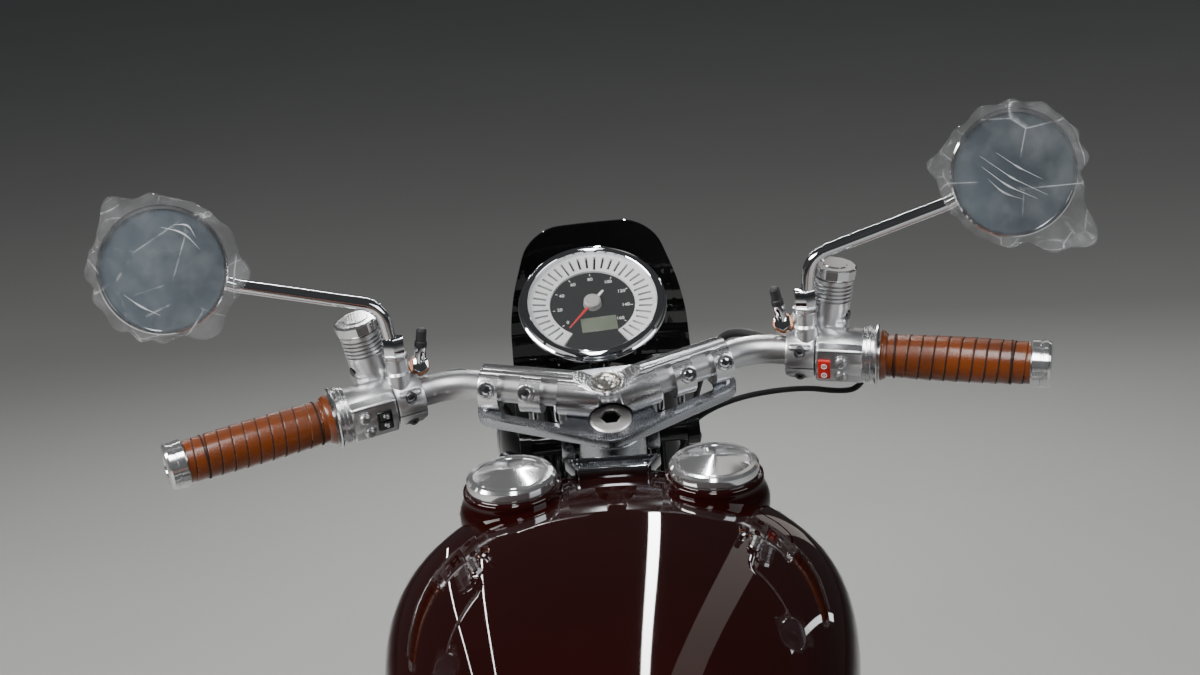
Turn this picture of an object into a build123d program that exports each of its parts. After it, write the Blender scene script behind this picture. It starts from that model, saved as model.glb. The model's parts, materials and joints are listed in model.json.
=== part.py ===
from build123d import *
import json
import math
import os

# Cafe racer motorcycle on its centre stand. Millimetres, X forward, Y left, Z up.
# The model is laid out on the floor plane and moved at the end so that the origin
# is under the middle of the whole machine.

# Chassis layout
WHEELBASE = 1460.0
FRONT_AXLE_X = 750.0
RAKE_DEG = 24.0
YOKE_X = 400.0
YOKE_Z = 1000.0
STEER_TURN_DEG = 4.5
RUN_GAP = 0.4
FIT_GAP = 0.1

# Wheels and tyres
FRONT_TYRE_R = 318.0
FRONT_TYRE_W = 108.0
REAR_TYRE_R = 325.0
REAR_TYRE_W = 140.0
REAR_LIFT = 18.0
BEAD_R = 229.0
FLANGE_H = 12.0
SPOKE_R = 2.2
SPOKE_COUNT = 32
HUB_R = 30.0
HUB_FLANGE_R = 44.0
AXLE_R = 12.5
AXLE_BORE_R = 8.5
FRONT_HUB_HALF = 34.0
REAR_HUB_HALF = 40.0

# Brakes and final drive
FRONT_DISC_R = 150.0
FRONT_DISC_Y = 48.0
REAR_DISC_R = 120.0
REAR_DISC_Y = -66.0
DISC_T = 5.0
SPROCKET_R = 98.0
DRIVE_SPROCKET_R = 40.0
CHAIN_Y = 88.0
CHAIN_W = 16.0
CHAIN_H = 15.0
SPROCKET_T = 6.0

# Yoke and handlebar
BAR_R = 11.1
BAR_RISE = 14.0
CLAMP_R = 17.0
YOKE_T = 8.0
STEM_R = 12.0
HEAD_R = 24.0
HEAD_TOP = -1.0 - YOKE_T
HEAD_BOTTOM = -225.0
WASHER_R = 16.0
BADGE_R = 11.0
GRIP_R = 17.0
GRIP_FLANGE_R = 21.0
BAR_END_R = 18.0
PERCH_R = 19.0
SWITCH_R = 20.0
RESERVOIR_R = 16.5
LEVER_R = 5.0

# Mirrors, gauge, lamp and screen
MIRROR_R = 47.0
MIRROR_STEM_R = 5.0
GAUGE_R = 58.0
GAUGE_DEPTH = 34.0
GAUGE_TILT_DEG = 54.5
LAMP_R = 85.0
LAMP_DEPTH = 118.0
SCREEN_T = 3.0

# Fork
BLADE_R = 13.0
BLADE_TOP_Y = 46.0
BLADE_LOW_Y = 82.0
SPINDLE_R = 7.0
LINK_TUBE_R = 11.0
LINK_T = 9.0
LUG_T = 28.0
SPRING_R = 26.0

# Frame and running gear
SPINE_R = 27.0
FRAME_TUBE_R = 15.0
REAR_TUBE_R = 12.5
CRADLE_Y = 95.0
PIVOT_X = -270.0
PIVOT_Z = 400.0
ARM_Y = 120.0
BRIDGE_BACK = 62.0
STAND_PIVOT_X = -225.0
STAND_PIVOT_Z = 238.0
STAND_FOOT_Y = 150.0
STAND_LEAN = 26.0
STAND_EYE_Y = 44.0

# Tank and seat
CAP_R = 32.5
CAP_H = 13.0
SEAT_T = 55.0
TUNNEL_GAP = 8.0
TANK_PADS = (90.0, 330.0)
PAN_T = 5.0

# Engine
CRANK_X = 20.0
CRANK_Z = 362.0
CASE_W = 210.0
CYL_ANGLE_DEG = 37.5
CYL_START = 105.0
CYL_LENGTH = 120.0
HEAD_LENGTH = 95.0
FIN_COUNT = 9
FIN_T = 3.2
FIN_R = 78.0
BARREL_R = 56.0
EXHAUST_R = 19.0
PEG_R = 11.0
RUNNER_R = 23.0
FILTER_R = 44.0
FILTER_HALF = 58.0
FILTER_Z = 684.0
BATTERY_X = (-318.0, -440.0)
BATTERY_Z = (652.0, 792.0)
BATTERY_HALF = 77.0
REARSET_Y = 141.0
REARSET_T = 6.0

REAR_AXLE_X = FRONT_AXLE_X - WHEELBASE
PLATE_Y = 62.0
RAIL_FRONT = (-300.0, 88.0, 788.0)
RAIL_REAR = (REAR_AXLE_X + 70.0, 100.0, 810.0)
ARM_R = 17.0
BOBBIN_R = 11.0
BOBBIN_L = 26.0
BOBBIN_BORE_R = 4.0
SHOCK_PIN_R = 6.0
FRONT_AXLE = Vector(FRONT_AXLE_X, 0, FRONT_TYRE_R)
REAR_AXLE = Vector(REAR_AXLE_X, 0, REAR_TYRE_R + REAR_LIFT)
BOBBIN = Vector(REAR_AXLE_X + 52, ARM_Y + ARM_R + 2 + BOBBIN_L / 2, REAR_AXLE.Z + 8)
SHOCK_TOP = Vector(REAR_AXLE_X + 190, 130, 802)
SHOCK_LOW = Vector(REAR_AXLE_X + 100, ARM_Y + 30, REAR_AXLE.Z + 43)
RAKE = math.radians(RAKE_DEG)
HEAD_AXIS_DIR = Vector(-math.sin(RAKE), 0, math.cos(RAKE))
FORWARD_DIR = Vector(math.cos(RAKE), 0, math.sin(RAKE))
YOKE = Vector(YOKE_X, 0, YOKE_Z)
YOKE_PLANE = Plane(origin=YOKE, x_dir=FORWARD_DIR, z_dir=HEAD_AXIS_DIR)
HEAD_AXIS = Axis(YOKE, HEAD_AXIS_DIR)
SPINE_FRONT = YOKE + HEAD_AXIS_DIR * (HEAD_BOTTOM + 75)
SPINE_REAR = Vector(-150, 0, 768)


def fuse(*shapes):
    """One solid from touching or overlapping shapes."""
    first, *rest = shapes
    return first.fuse(*rest) if rest else first


def both_sides(shape):
    """A left-hand shape and its mirror image, fused."""
    return shape.fuse(mirror(shape, about=Plane.XZ))


def group(*shapes):
    """Separate solids kept together as one node."""
    return Compound([solid for shape in shapes for solid in shape.solids()])


def pair(shape):
    """A left-hand shape and its mirror image as two solids."""
    return group(shape, mirror(shape, about=Plane.XZ))


def tube(points, radius, bend=None):
    """A round tube along straight runs joined by tangent arcs."""
    if len(points) == 2:
        path = Line(*points)
    else:
        path = FilletPolyline(*points, radius=bend)
    section = Plane(origin=path @ 0, z_dir=path % 0) * Circle(radius)
    return sweep(section, path=path)


def rod(start, end, radius):
    """A straight round bar between two points."""
    start, end = Vector(*start), Vector(*end)
    run = end - start
    return Plane(origin=start, z_dir=run) * extrude(Circle(radius), run.length)


def turned(outline, origin, direction):
    """A solid of revolution from (radius, distance) points, closed on its axis line.

    The distance runs along direction from origin."""
    face = make_face(Polyline(*[(r, d) for r, d in outline], close=True))
    solid = revolve(Plane.XZ * face, axis=Axis.Z)
    return Plane(origin=origin, z_dir=direction) * solid


def ring_y(outline, centre):
    """A solid of revolution about a cross axis from (radius, y) points."""
    face = make_face(Polyline(*outline, close=True))
    return Pos(*centre) * revolve(Plane.XY * face, axis=Axis.Y)


def steer(shape):
    """From the yoke's own axes to the machine, with the bars turned a little left."""
    return (YOKE_PLANE.location * shape).rotate(HEAD_AXIS, STEER_TURN_DEG)


def from_machine(x, y, z):
    """Yoke coordinates of a point given forward, left and up from the yoke's centre."""
    return (x * math.cos(RAKE) + z * math.sin(RAKE), y, -x * math.sin(RAKE) + z * math.cos(RAKE))


def machine_plane(x, y, z):
    """A plane at a point forward, left and up from the yoke's centre, upright in the machine."""
    e, y, a = from_machine(x, y, z)
    return Plane(origin=(e, y, a), x_dir=(math.cos(RAKE), 0, -math.sin(RAKE)),
                 z_dir=(math.sin(RAKE), 0, math.cos(RAKE)))


FRONT_AXLE_LOCAL = from_machine(FRONT_AXLE_X - YOKE_X, 0, FRONT_TYRE_R - YOKE_Z)
LINK_REAR_E = 41.0
LINK_FRONT_E = 96.0
LINK_TOP_A = -52.0
LINK_LOW_A = -252.0
SPRING_TOP_E = 60.0
SPRING_TOP_A = -30.0

# Handlebar centre line in the yoke plane: (forward, out) at the bar's height
BAR_POINTS = ((9.0, 4.0), (44.0, 113.5), (-14.5, 328.0))
BAR_BEND = 60.0


def bar_frame(distance_y):
    """A plane on the left bar's outer run, its Z outwards, at a distance out from the centre."""
    (e1, y1), (e2, y2) = BAR_POINTS[1:]
    run = Vector(e2 - e1, y2 - y1, 0).normalized()
    share = (distance_y - y1) / (y2 - y1)
    origin = Vector(e1 + share * (e2 - e1), distance_y, BAR_RISE)
    rearwards = Vector(-run.Y, run.X, 0)
    return Plane(origin=origin, x_dir=rearwards, z_dir=run)


# Wheels

def tyre(radius, width):
    """Round-shouldered road tyre, open on its bead."""
    height = radius - BEAD_R
    bead = width * 0.34
    side_r = BEAD_R + height * 0.55
    shoulder = (radius - height * 0.2, width * 0.44)
    with BuildSketch(Plane.XY) as section:
        with BuildLine():
            Line((BEAD_R + 1, -bead), (BEAD_R + 1, bead))
            Line((BEAD_R + 1, bead), (BEAD_R + FLANGE_H + 1, bead))
            ThreePointArc((BEAD_R + FLANGE_H + 1, bead), (side_r, width / 2), shoulder)
            ThreePointArc(shoulder, (radius, 0), (shoulder[0], -shoulder[1]))
            ThreePointArc((shoulder[0], -shoulder[1]), (side_r, -width / 2), (BEAD_R + FLANGE_H + 1, -bead))
            Line((BEAD_R + FLANGE_H + 1, -bead), (BEAD_R + 1, -bead))
        make_face()
    return revolve(section.sketch, axis=Axis.Y)


def rim(width):
    """Alloy rim with raised flanges."""
    half = width * 0.34 + 4
    return ring_y([(BEAD_R - 14, -half + 12), (BEAD_R - 6, -half), (BEAD_R + FLANGE_H, -half),
                   (BEAD_R + FLANGE_H, -half + 3.6), (BEAD_R + 0.6, -half + 3.6), (BEAD_R + 0.6, half - 3.6),
                   (BEAD_R + FLANGE_H, half - 3.6), (BEAD_R + FLANGE_H, half), (BEAD_R - 6, half),
                   (BEAD_R - 14, half - 12)], (0, 0, 0))


def hub(half):
    """Flanged hub with its axle bore."""
    return ring_y([(AXLE_R + 0.05, -half), (HUB_FLANGE_R, -half), (HUB_FLANGE_R, -half + 6),
                   (HUB_R, -half + 12), (HUB_R, half - 12), (HUB_FLANGE_R, half - 6),
                   (HUB_FLANGE_R, half), (AXLE_R + 0.05, half)], (0, 0, 0))


def wire_wheel(width, half):
    """Rim and hub joined by crossed wire spokes."""
    spokes = []
    for i in range(SPOKE_COUNT):
        side = 1 if i % 2 else -1
        lean = 34.0 if (i // 2) % 2 else -34.0
        at_hub = math.radians(i * 360 / SPOKE_COUNT + lean)
        at_rim = math.radians(i * 360 / SPOKE_COUNT)
        root_r = HUB_FLANGE_R - 6
        start = (root_r * math.cos(at_hub), side * (half - 3), root_r * math.sin(at_hub))
        tip_r = BEAD_R - 8
        end = (tip_r * math.cos(at_rim), side * 4, tip_r * math.sin(at_rim))
        spokes.append(rod(start, end, SPOKE_R))
    return fuse(rim(width), hub(half), *spokes)


def disc(radius, y, carrier_r, thickness=DISC_T):
    """Brake disc on a dished carrier, centred on the axle."""
    plate = Cylinder(radius, thickness, rotation=(90, 0, 0)) - Cylinder(radius - 34, 30, rotation=(90, 0, 0))
    arms = [Rot(0, i * 60, 0) * Pos((carrier_r + radius - 30) / 2, 0, 0)
            * Box(radius - 26 - carrier_r + 20, thickness - 1, 16) for i in range(6)]
    ring = Cylinder(carrier_r + 12, thickness - 1, rotation=(90, 0, 0))
    ring -= Cylinder(AXLE_R + 8, 30, rotation=(90, 0, 0))
    return Pos(0, y, 0) * fuse(plate, ring, *arms)


def front_wheel_parts():
    at_axle = Pos(*FRONT_AXLE)
    spacer_gap = FRONT_DISC_Y - DISC_T / 2 - FRONT_HUB_HALF
    carrier = ring_y([(AXLE_R + 8.5, FRONT_HUB_HALF), (AXLE_R + 20, FRONT_HUB_HALF),
                      (AXLE_R + 20, FRONT_HUB_HALF + spacer_gap + 1),
                      (AXLE_R + 8.5, FRONT_HUB_HALF + spacer_gap + 1)], (0, 0, 0))
    one = fuse(disc(FRONT_DISC_R, FRONT_DISC_Y, AXLE_R + 22), carrier)
    return {
        "front_tyre": steer_world(at_axle * tyre(FRONT_TYRE_R, FRONT_TYRE_W)),
        "front_wire_wheel": steer_world(at_axle * wire_wheel(FRONT_TYRE_W, FRONT_HUB_HALF)),
        "front_discs": steer_world(at_axle * pair(one)),
    }


def steer_world(shape):
    """Turns a shape that is already in the machine's axes about the steering head."""
    return shape.rotate(HEAD_AXIS, STEER_TURN_DEG)


def rear_wheel_parts():
    at_axle = Pos(*REAR_AXLE)
    gap = -REAR_DISC_Y - DISC_T / 2 - REAR_HUB_HALF
    boss = ring_y([(AXLE_R + 8.5, -REAR_HUB_HALF), (AXLE_R + 20, -REAR_HUB_HALF),
                   (AXLE_R + 20, -REAR_HUB_HALF - gap - 1), (AXLE_R + 8.5, -REAR_HUB_HALF - gap - 1)], (0, 0, 0))
    cush_len = CHAIN_Y - SPROCKET_T / 2 - REAR_HUB_HALF
    cush = ring_y([(AXLE_R + 0.05, REAR_HUB_HALF), (AXLE_R + 38, REAR_HUB_HALF),
                   (AXLE_R + 38, REAR_HUB_HALF + cush_len), (AXLE_R + 0.05, REAR_HUB_HALF + cush_len)], (0, 0, 0))
    plate = Pos(0, CHAIN_Y, 0) * (Cylinder(SPROCKET_R, SPROCKET_T, rotation=(90, 0, 0))
                                  - Cylinder(AXLE_R + 26, 30, rotation=(90, 0, 0)))
    for i in range(6):
        plate -= Rot(0, i * 60, 0) * Pos(72, CHAIN_Y, 0) * Cylinder(14, 30, rotation=(90, 0, 0))
    return {
        "rear_tyre": at_axle * tyre(REAR_TYRE_R, REAR_TYRE_W),
        "rear_wire_wheel": at_axle * fuse(wire_wheel(REAR_TYRE_W, REAR_HUB_HALF), cush),
        "rear_disc": at_axle * fuse(disc(REAR_DISC_R, REAR_DISC_Y, AXLE_R + 22), boss),
        "rear_sprocket": at_axle * plate,
    }


# Steering head and handlebar

def clamp_plane(y_out):
    """A plane across the left bar at a distance out from the centre, its Z along the bar outwards."""
    (e0, y0), (e1, y1) = BAR_POINTS[:2]
    run = Vector(e1 - e0, y1 - y0, 0).normalized()
    share = (y_out - y0) / (y1 - y0)
    return Plane(origin=(e0 + share * (e1 - e0), y_out, BAR_RISE), x_dir=(-run.Y, run.X, 0), z_dir=run)


CLAMP_OUT_Y = 92.0
WINDOWS = ((40.5, 13.0), (69.8, 16.2))
ARM_OPENING = ((-1.5, 34.0), (20.5, 82.0), (46.0, 79.0), (50.0, 44.0), (24.0, 31.0))


def yoke_parts():
    outline = [(-26, 0), (-19, 19), (17, 96), (30, 99), (52, 88), (62, 30), (62, -30), (52, -88), (30, -99),
               (17, -96), (-19, -19)]
    plate = extrude(make_face(FilletPolyline(*outline, radius=7.5, close=True)), -YOKE_T)
    plate = Pos(0, 0, -1.0) * plate
    opening = make_face(FilletPolyline(*ARM_OPENING, radius=5, close=True))
    plate -= both_sides(Pos(0, 0, -40) * extrude(opening, 80))
    stem_boss = Pos(0, 0, -YOKE_T / 2 - 1) * Cylinder(30, YOKE_T)
    inner = clamp_plane(6.0)
    outer = clamp_plane(CLAMP_OUT_Y)
    length = (outer.origin - inner.origin).length
    saddle = inner * extrude(Circle(CLAMP_R), length)
    body = both_sides(fuse(plate, stem_boss, saddle))
    bar_bore = both_sides(clamp_plane(24.0) * extrude(Circle(BAR_R + FIT_GAP), 120))
    body -= bar_bore
    for y, width in WINDOWS:
        hole = clamp_plane(y) * Pos(18, 3, 0) * Box(30, 34, width)
        body -= both_sides(hole)
    body += Pos(27, 0, 4) * Cylinder(BADGE_R + 2.5, 12)
    body -= Cylinder(STEM_R + FIT_GAP, 80)
    body -= Pos(0, 0, 60) * Cylinder(34, 120)
    ears = []
    for side in (1, -1):
        ear = Pos(LINK_REAR_E - 2, side * 33, (LINK_TOP_A - YOKE_T) / 2) * Box(20, 9.5, -LINK_TOP_A + YOKE_T - 14)
        eye = Pos(LINK_REAR_E, side * 33, LINK_TOP_A) * Cylinder(15, 9.5, rotation=(90, 0, 0))
        ears.append(fuse(ear, eye))
    lug = Pos(SPRING_TOP_E - 4, 0, SPRING_TOP_A / 2 - 6) * Box(24, 34, -SPRING_TOP_A - 4)
    lug += Pos(SPRING_TOP_E, 0, SPRING_TOP_A) * Cylinder(12, 34, rotation=(90, 0, 0))
    lug -= Pos(SPRING_TOP_E, 0, SPRING_TOP_A) * Box(60, 18.6, 28)
    lug += Pos(SPRING_TOP_E, 0, SPRING_TOP_A) * Cylinder(5, 34, rotation=(90, 0, 0))
    body = fuse(body, *ears, lug)
    body -= Pos(0, 0, -3 + 10) * Cylinder(WASHER_R + FIT_GAP, 20)
    body -= Pos(LINK_REAR_E, 0, LINK_TOP_A) * Cylinder(LINK_TUBE_R + FIT_GAP, 150, rotation=(90, 0, 0))
    body = body.solids().sort_by(SortBy.VOLUME)[-1]
    bolt = Pos(0, 0, -1.5) * Cylinder(WASHER_R, 3)
    bolt += Pos(0, 0, -11) * Cylinder(STEM_R - 3, 16)
    bolt -= extrude(RegularPolygon(5.2, 6), -9)
    badge = Pos(27, 0, 10 + FIT_GAP + 1) * Cylinder(BADGE_R, 2)
    stem_low = HEAD_BOTTOM - 20
    stem = Pos(0, 0, (stem_low - 3 - FIT_GAP) / 2) * Cylinder(STEM_R, -stem_low - 3 - FIT_GAP)
    stem -= Pos(0, 0, -13) * Cylinder(STEM_R - 3 + FIT_GAP, 21)
    lower = Pos(0, 0, HEAD_BOTTOM - RUN_GAP - 9) * Cylinder(26, 18)
    lower += Pos(24, 0, HEAD_BOTTOM - RUN_GAP - 9) * Box(48, 62, 18)
    for side in (1, -1):
        lower += Pos(LINK_REAR_E, side * 24, LINK_LOW_A) * Cylinder(16, 14, rotation=(90, 0, 0))
    lower -= Pos(LINK_REAR_E, 0, LINK_LOW_A) * Cylinder(LINK_TUBE_R + FIT_GAP, 150, rotation=(90, 0, 0))
    return {"yoke": steer(body), "stem_bolt": steer(fuse(bolt)), "yoke_cap": steer(badge),
            "steering_stem": steer(fuse(stem, lower))}


def bar_parts():
    (e0, y0), (e1, y1), (e2, y2) = BAR_POINTS
    start = clamp_plane(24.5).origin
    left = tube([(start.X, start.Y, BAR_RISE), (e1, y1, BAR_RISE), (e2, y2, BAR_RISE)], BAR_R, BAR_BEND)
    grip_in, grip_out = 207.0, 314.0
    grip = bar_frame(grip_in) * extrude(Circle(GRIP_R), (grip_out - grip_in) / 0.96)
    grip += bar_frame(grip_in) * extrude(Circle(GRIP_FLANGE_R), 5)
    grip -= bar_frame(grip_in - 20) * extrude(Circle(BAR_R + FIT_GAP), 160)
    length = bar_frame(y2).origin - bar_frame(grip_out).origin
    end = bar_frame(y2) * Pos(0, 0, FIT_GAP) * extrude(Circle(BAR_END_R), 9)
    end = chamfer(end.faces().sort_by(Axis.Y)[-1].edges(), 3)
    collar = bar_frame(grip_out) * Pos(0, 0, 1) * extrude(Circle(BAR_END_R), length.length)
    collar -= bar_frame(grip_out - 10) * extrude(Circle(BAR_R + FIT_GAP), 60)
    return {
        "handlebars": steer(pair(left)),
        "grips": steer(pair(grip)),
        "bar_ends": steer(pair(fuse(collar, end))),
    }


PERCH_IN_Y = 139.0
PERCH_W = 22.0
SWITCH_W = 36.0
RING_W = 12.0


def control_parts():
    """Perches, switch housings, reservoirs, levers and mirrors, left and mirrored."""
    bore = bar_frame(PERCH_IN_Y - 20) * extrude(Circle(BAR_R + FIT_GAP), 160)
    perch = bar_frame(PERCH_IN_Y) * extrude(Circle(PERCH_R), PERCH_W)
    perch += bar_frame(PERCH_IN_Y) * Pos(-20, 0, PERCH_W / 2) * Box(26, 30, PERCH_W)
    perch += rod((38, 152, BAR_RISE + 12), from_machine(17, 154, 62), 10)
    seat = bar_frame(PERCH_IN_Y) * Pos(-24, 12, PERCH_W) * Box(30, 26, 44)
    base = bar_frame(PERCH_IN_Y)
    switch = base * Pos(0, 0, PERCH_W + 1) * extrude(Circle(SWITCH_R), SWITCH_W)
    ring = base * Pos(0, 0, PERCH_W + SWITCH_W) * extrude(Circle(SWITCH_R + 3), RING_W * 0.6)
    perch = fuse(perch, seat) - base * Pos(0, 0, PERCH_W + 1 - FIT_GAP) * extrude(Circle(SWITCH_R + FIT_GAP), 60)
    perch -= bore
    switch = fuse(switch, ring) - bore
    upright = machine_plane(34, 175, 60)
    reservoir = upright * Rot(-10, -8, 0) * Cylinder(RESERVOIR_R, 44)
    reservoir = fuse(reservoir, upright * Rot(-10, -8, 0) * Pos(0, 0, 27) * Cylinder(RESERVOIR_R + 1.5, 10))
    reservoir -= fuse(perch, switch)
    reservoir = reservoir.solids().sort_by(SortBy.VOLUME)[-1]
    lever_points = [from_machine(46, 150, 24), from_machine(66, 176, 22), from_machine(52, 250, 16),
                    from_machine(28, 335, 6)]
    lever = tube(lever_points, LEVER_R, 20)
    perch -= tube(lever_points, LEVER_R + FIT_GAP, 20)
    perch = perch.solids().sort_by(SortBy.VOLUME)[-1]
    stem_points = [from_machine(17, 154, 58), from_machine(15, 160, 101), from_machine(2, 262, 132),
                   from_machine(-6, 290, 146)]
    stem = tube(stem_points, MIRROR_STEM_R, 22)
    face = mirror_plane()
    shell = face * turned([(0, -16), (22, -14), (40, -7), (MIRROR_R, 0), (MIRROR_R, 4), (0, 4)],
                          (0, 0, 0), (0, 0, 1))
    shell -= face * Pos(0, 0, 3) * Cylinder(MIRROR_R - 3, 4)
    glass = face * Pos(0, 0, 2.2) * Cylinder(MIRROR_R - 3.2, 2.2)
    stem -= shell
    stem = stem.solids().sort_by(SortBy.VOLUME)[-1]
    nut = machine_plane(17, 154, 62) * extrude(RegularPolygon(8.5, 6), 16)
    nut -= stem
    nut = nut.solids().sort_by(SortBy.VOLUME)[-1]
    perch = (perch - stem - nut).solids().sort_by(SortBy.VOLUME)[-1]
    return {
        "brake_perches": steer(pair(perch)),
        "switch_housings": steer(pair(switch)),
        "reservoirs": steer(pair(reservoir)),
        "levers": steer(pair(lever)),
        "mirror_stems": steer(pair(fuse(stem, nut))),
        "mirror_shells": steer(pair(shell)),
        "mirror_glasses": steer(pair(glass)),
    }


def mirror_plane():
    """The left mirror's face, its Z towards the rider."""
    plane = machine_plane(-10, 311, 153)
    normal = plane.z_dir * 0.10 - plane.x_dir
    return Plane(origin=plane.origin, x_dir=(0, 1, 0), z_dir=normal)


def cockpit_parts():
    """Gauge, flyscreen and headlamp."""
    base = machine_plane(112, 0, 63)
    tilt = math.radians(GAUGE_TILT_DEG)
    normal = base.z_dir * math.sin(tilt) - base.x_dir * math.cos(tilt)
    face = Plane(origin=base.origin, x_dir=(0, 1, 0), z_dir=normal)
    gauge = face * turned([(0, -GAUGE_DEPTH), (34, -GAUGE_DEPTH), (48, -GAUGE_DEPTH + 12),
                           (GAUGE_R - 3, -9), (GAUGE_R, -6), (GAUGE_R, -1), (GAUGE_R - 3, 1),
                           (GAUGE_R - 8, -3), (0, -3)], (0, 0, 0), (0, 0, 1))
    lamp_plane = machine_plane(314, 0, -108)
    axis_plane = Plane(origin=lamp_plane.origin, x_dir=(0, 1, 0), z_dir=lamp_plane.x_dir)
    shell = axis_plane * turned([(0, -LAMP_DEPTH), (30, -LAMP_DEPTH + 4), (60, -LAMP_DEPTH + 26),
                                 (78, -LAMP_DEPTH + 62), (LAMP_R, -14), (LAMP_R, 0), (LAMP_R - 5, 3),
                                 (LAMP_R - 5, -10), (0, -10)], (0, 0, 0), (0, 0, 1))
    lens = axis_plane * turned([(0, -9.8), (LAMP_R - 5.2, -9.8), (LAMP_R - 5.2, 1), (55, 6), (0, 9)],
                               (0, 0, 0), (0, 0, 1))
    bracket = []
    for side in (1, -1):
        start = from_machine(150, side * 54, -92)
        bracket.append(rod(start, from_machine(262, side * (LAMP_R - 4), -104), 6))
    stay = rod(from_machine(124, 0, 44), from_machine(104, 0, -2), 8) - gauge
    screen_plane = machine_plane(212, 0, 20)
    shell_axis = Plane(origin=machine_plane(12, 0, 20).origin, x_dir=(0, 1, 0),
                       z_dir=screen_plane.z_dir - screen_plane.x_dir * 0.26)
    sheet = shell_axis * (Cylinder(200, 240) - Cylinder(200 - SCREEN_T, 240))
    outline = [(-98, -82), (98, -82), (90, 20), (62, 84), (-62, 84), (-90, 20)]
    cutter_plane = Plane(origin=machine_plane(60, 0, 20).origin, x_dir=(0, 1, 0), z_dir=screen_plane.x_dir)
    cutter = cutter_plane * extrude(make_face(FilletPolyline(*outline, radius=24, close=True)), 220)
    screen = (sheet & cutter) - axis_plane * Pos(0, 0, -60) * Cylinder(LAMP_R + 3, 260)
    stay -= shell
    blades = [Pos(LINK_FRONT_E, side * BLADE_TOP_Y, -200) * Cylinder(BLADE_R, 300) for side in (1, -1)]
    bracket = [b - shell - blades[0] - blades[1] for b in bracket]
    bracket = [b.solids().sort_by(SortBy.VOLUME)[-1] for b in bracket]
    for side in (1, -1):
        prop = rod(from_machine(262, side * 32, -50), from_machine(208, side * 32, 6), 4) - screen - shell
        bracket.append(prop.solids().sort_by(SortBy.VOLUME)[-1])
    stay -= Pos(LINK_FRONT_E, 0, LINK_TOP_A) * Cylinder(SPINDLE_R + FIT_GAP, 150, rotation=(90, 0, 0))
    return {
        "gauge": steer(gauge),
        "headlamp_shell": steer(shell),
        "headlamp_lens": steer(lens),
        "lamp_brackets": steer(group(*bracket, stay.solids().sort_by(SortBy.VOLUME)[-1])),
        "flyscreen": steer(screen),
    }


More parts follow.
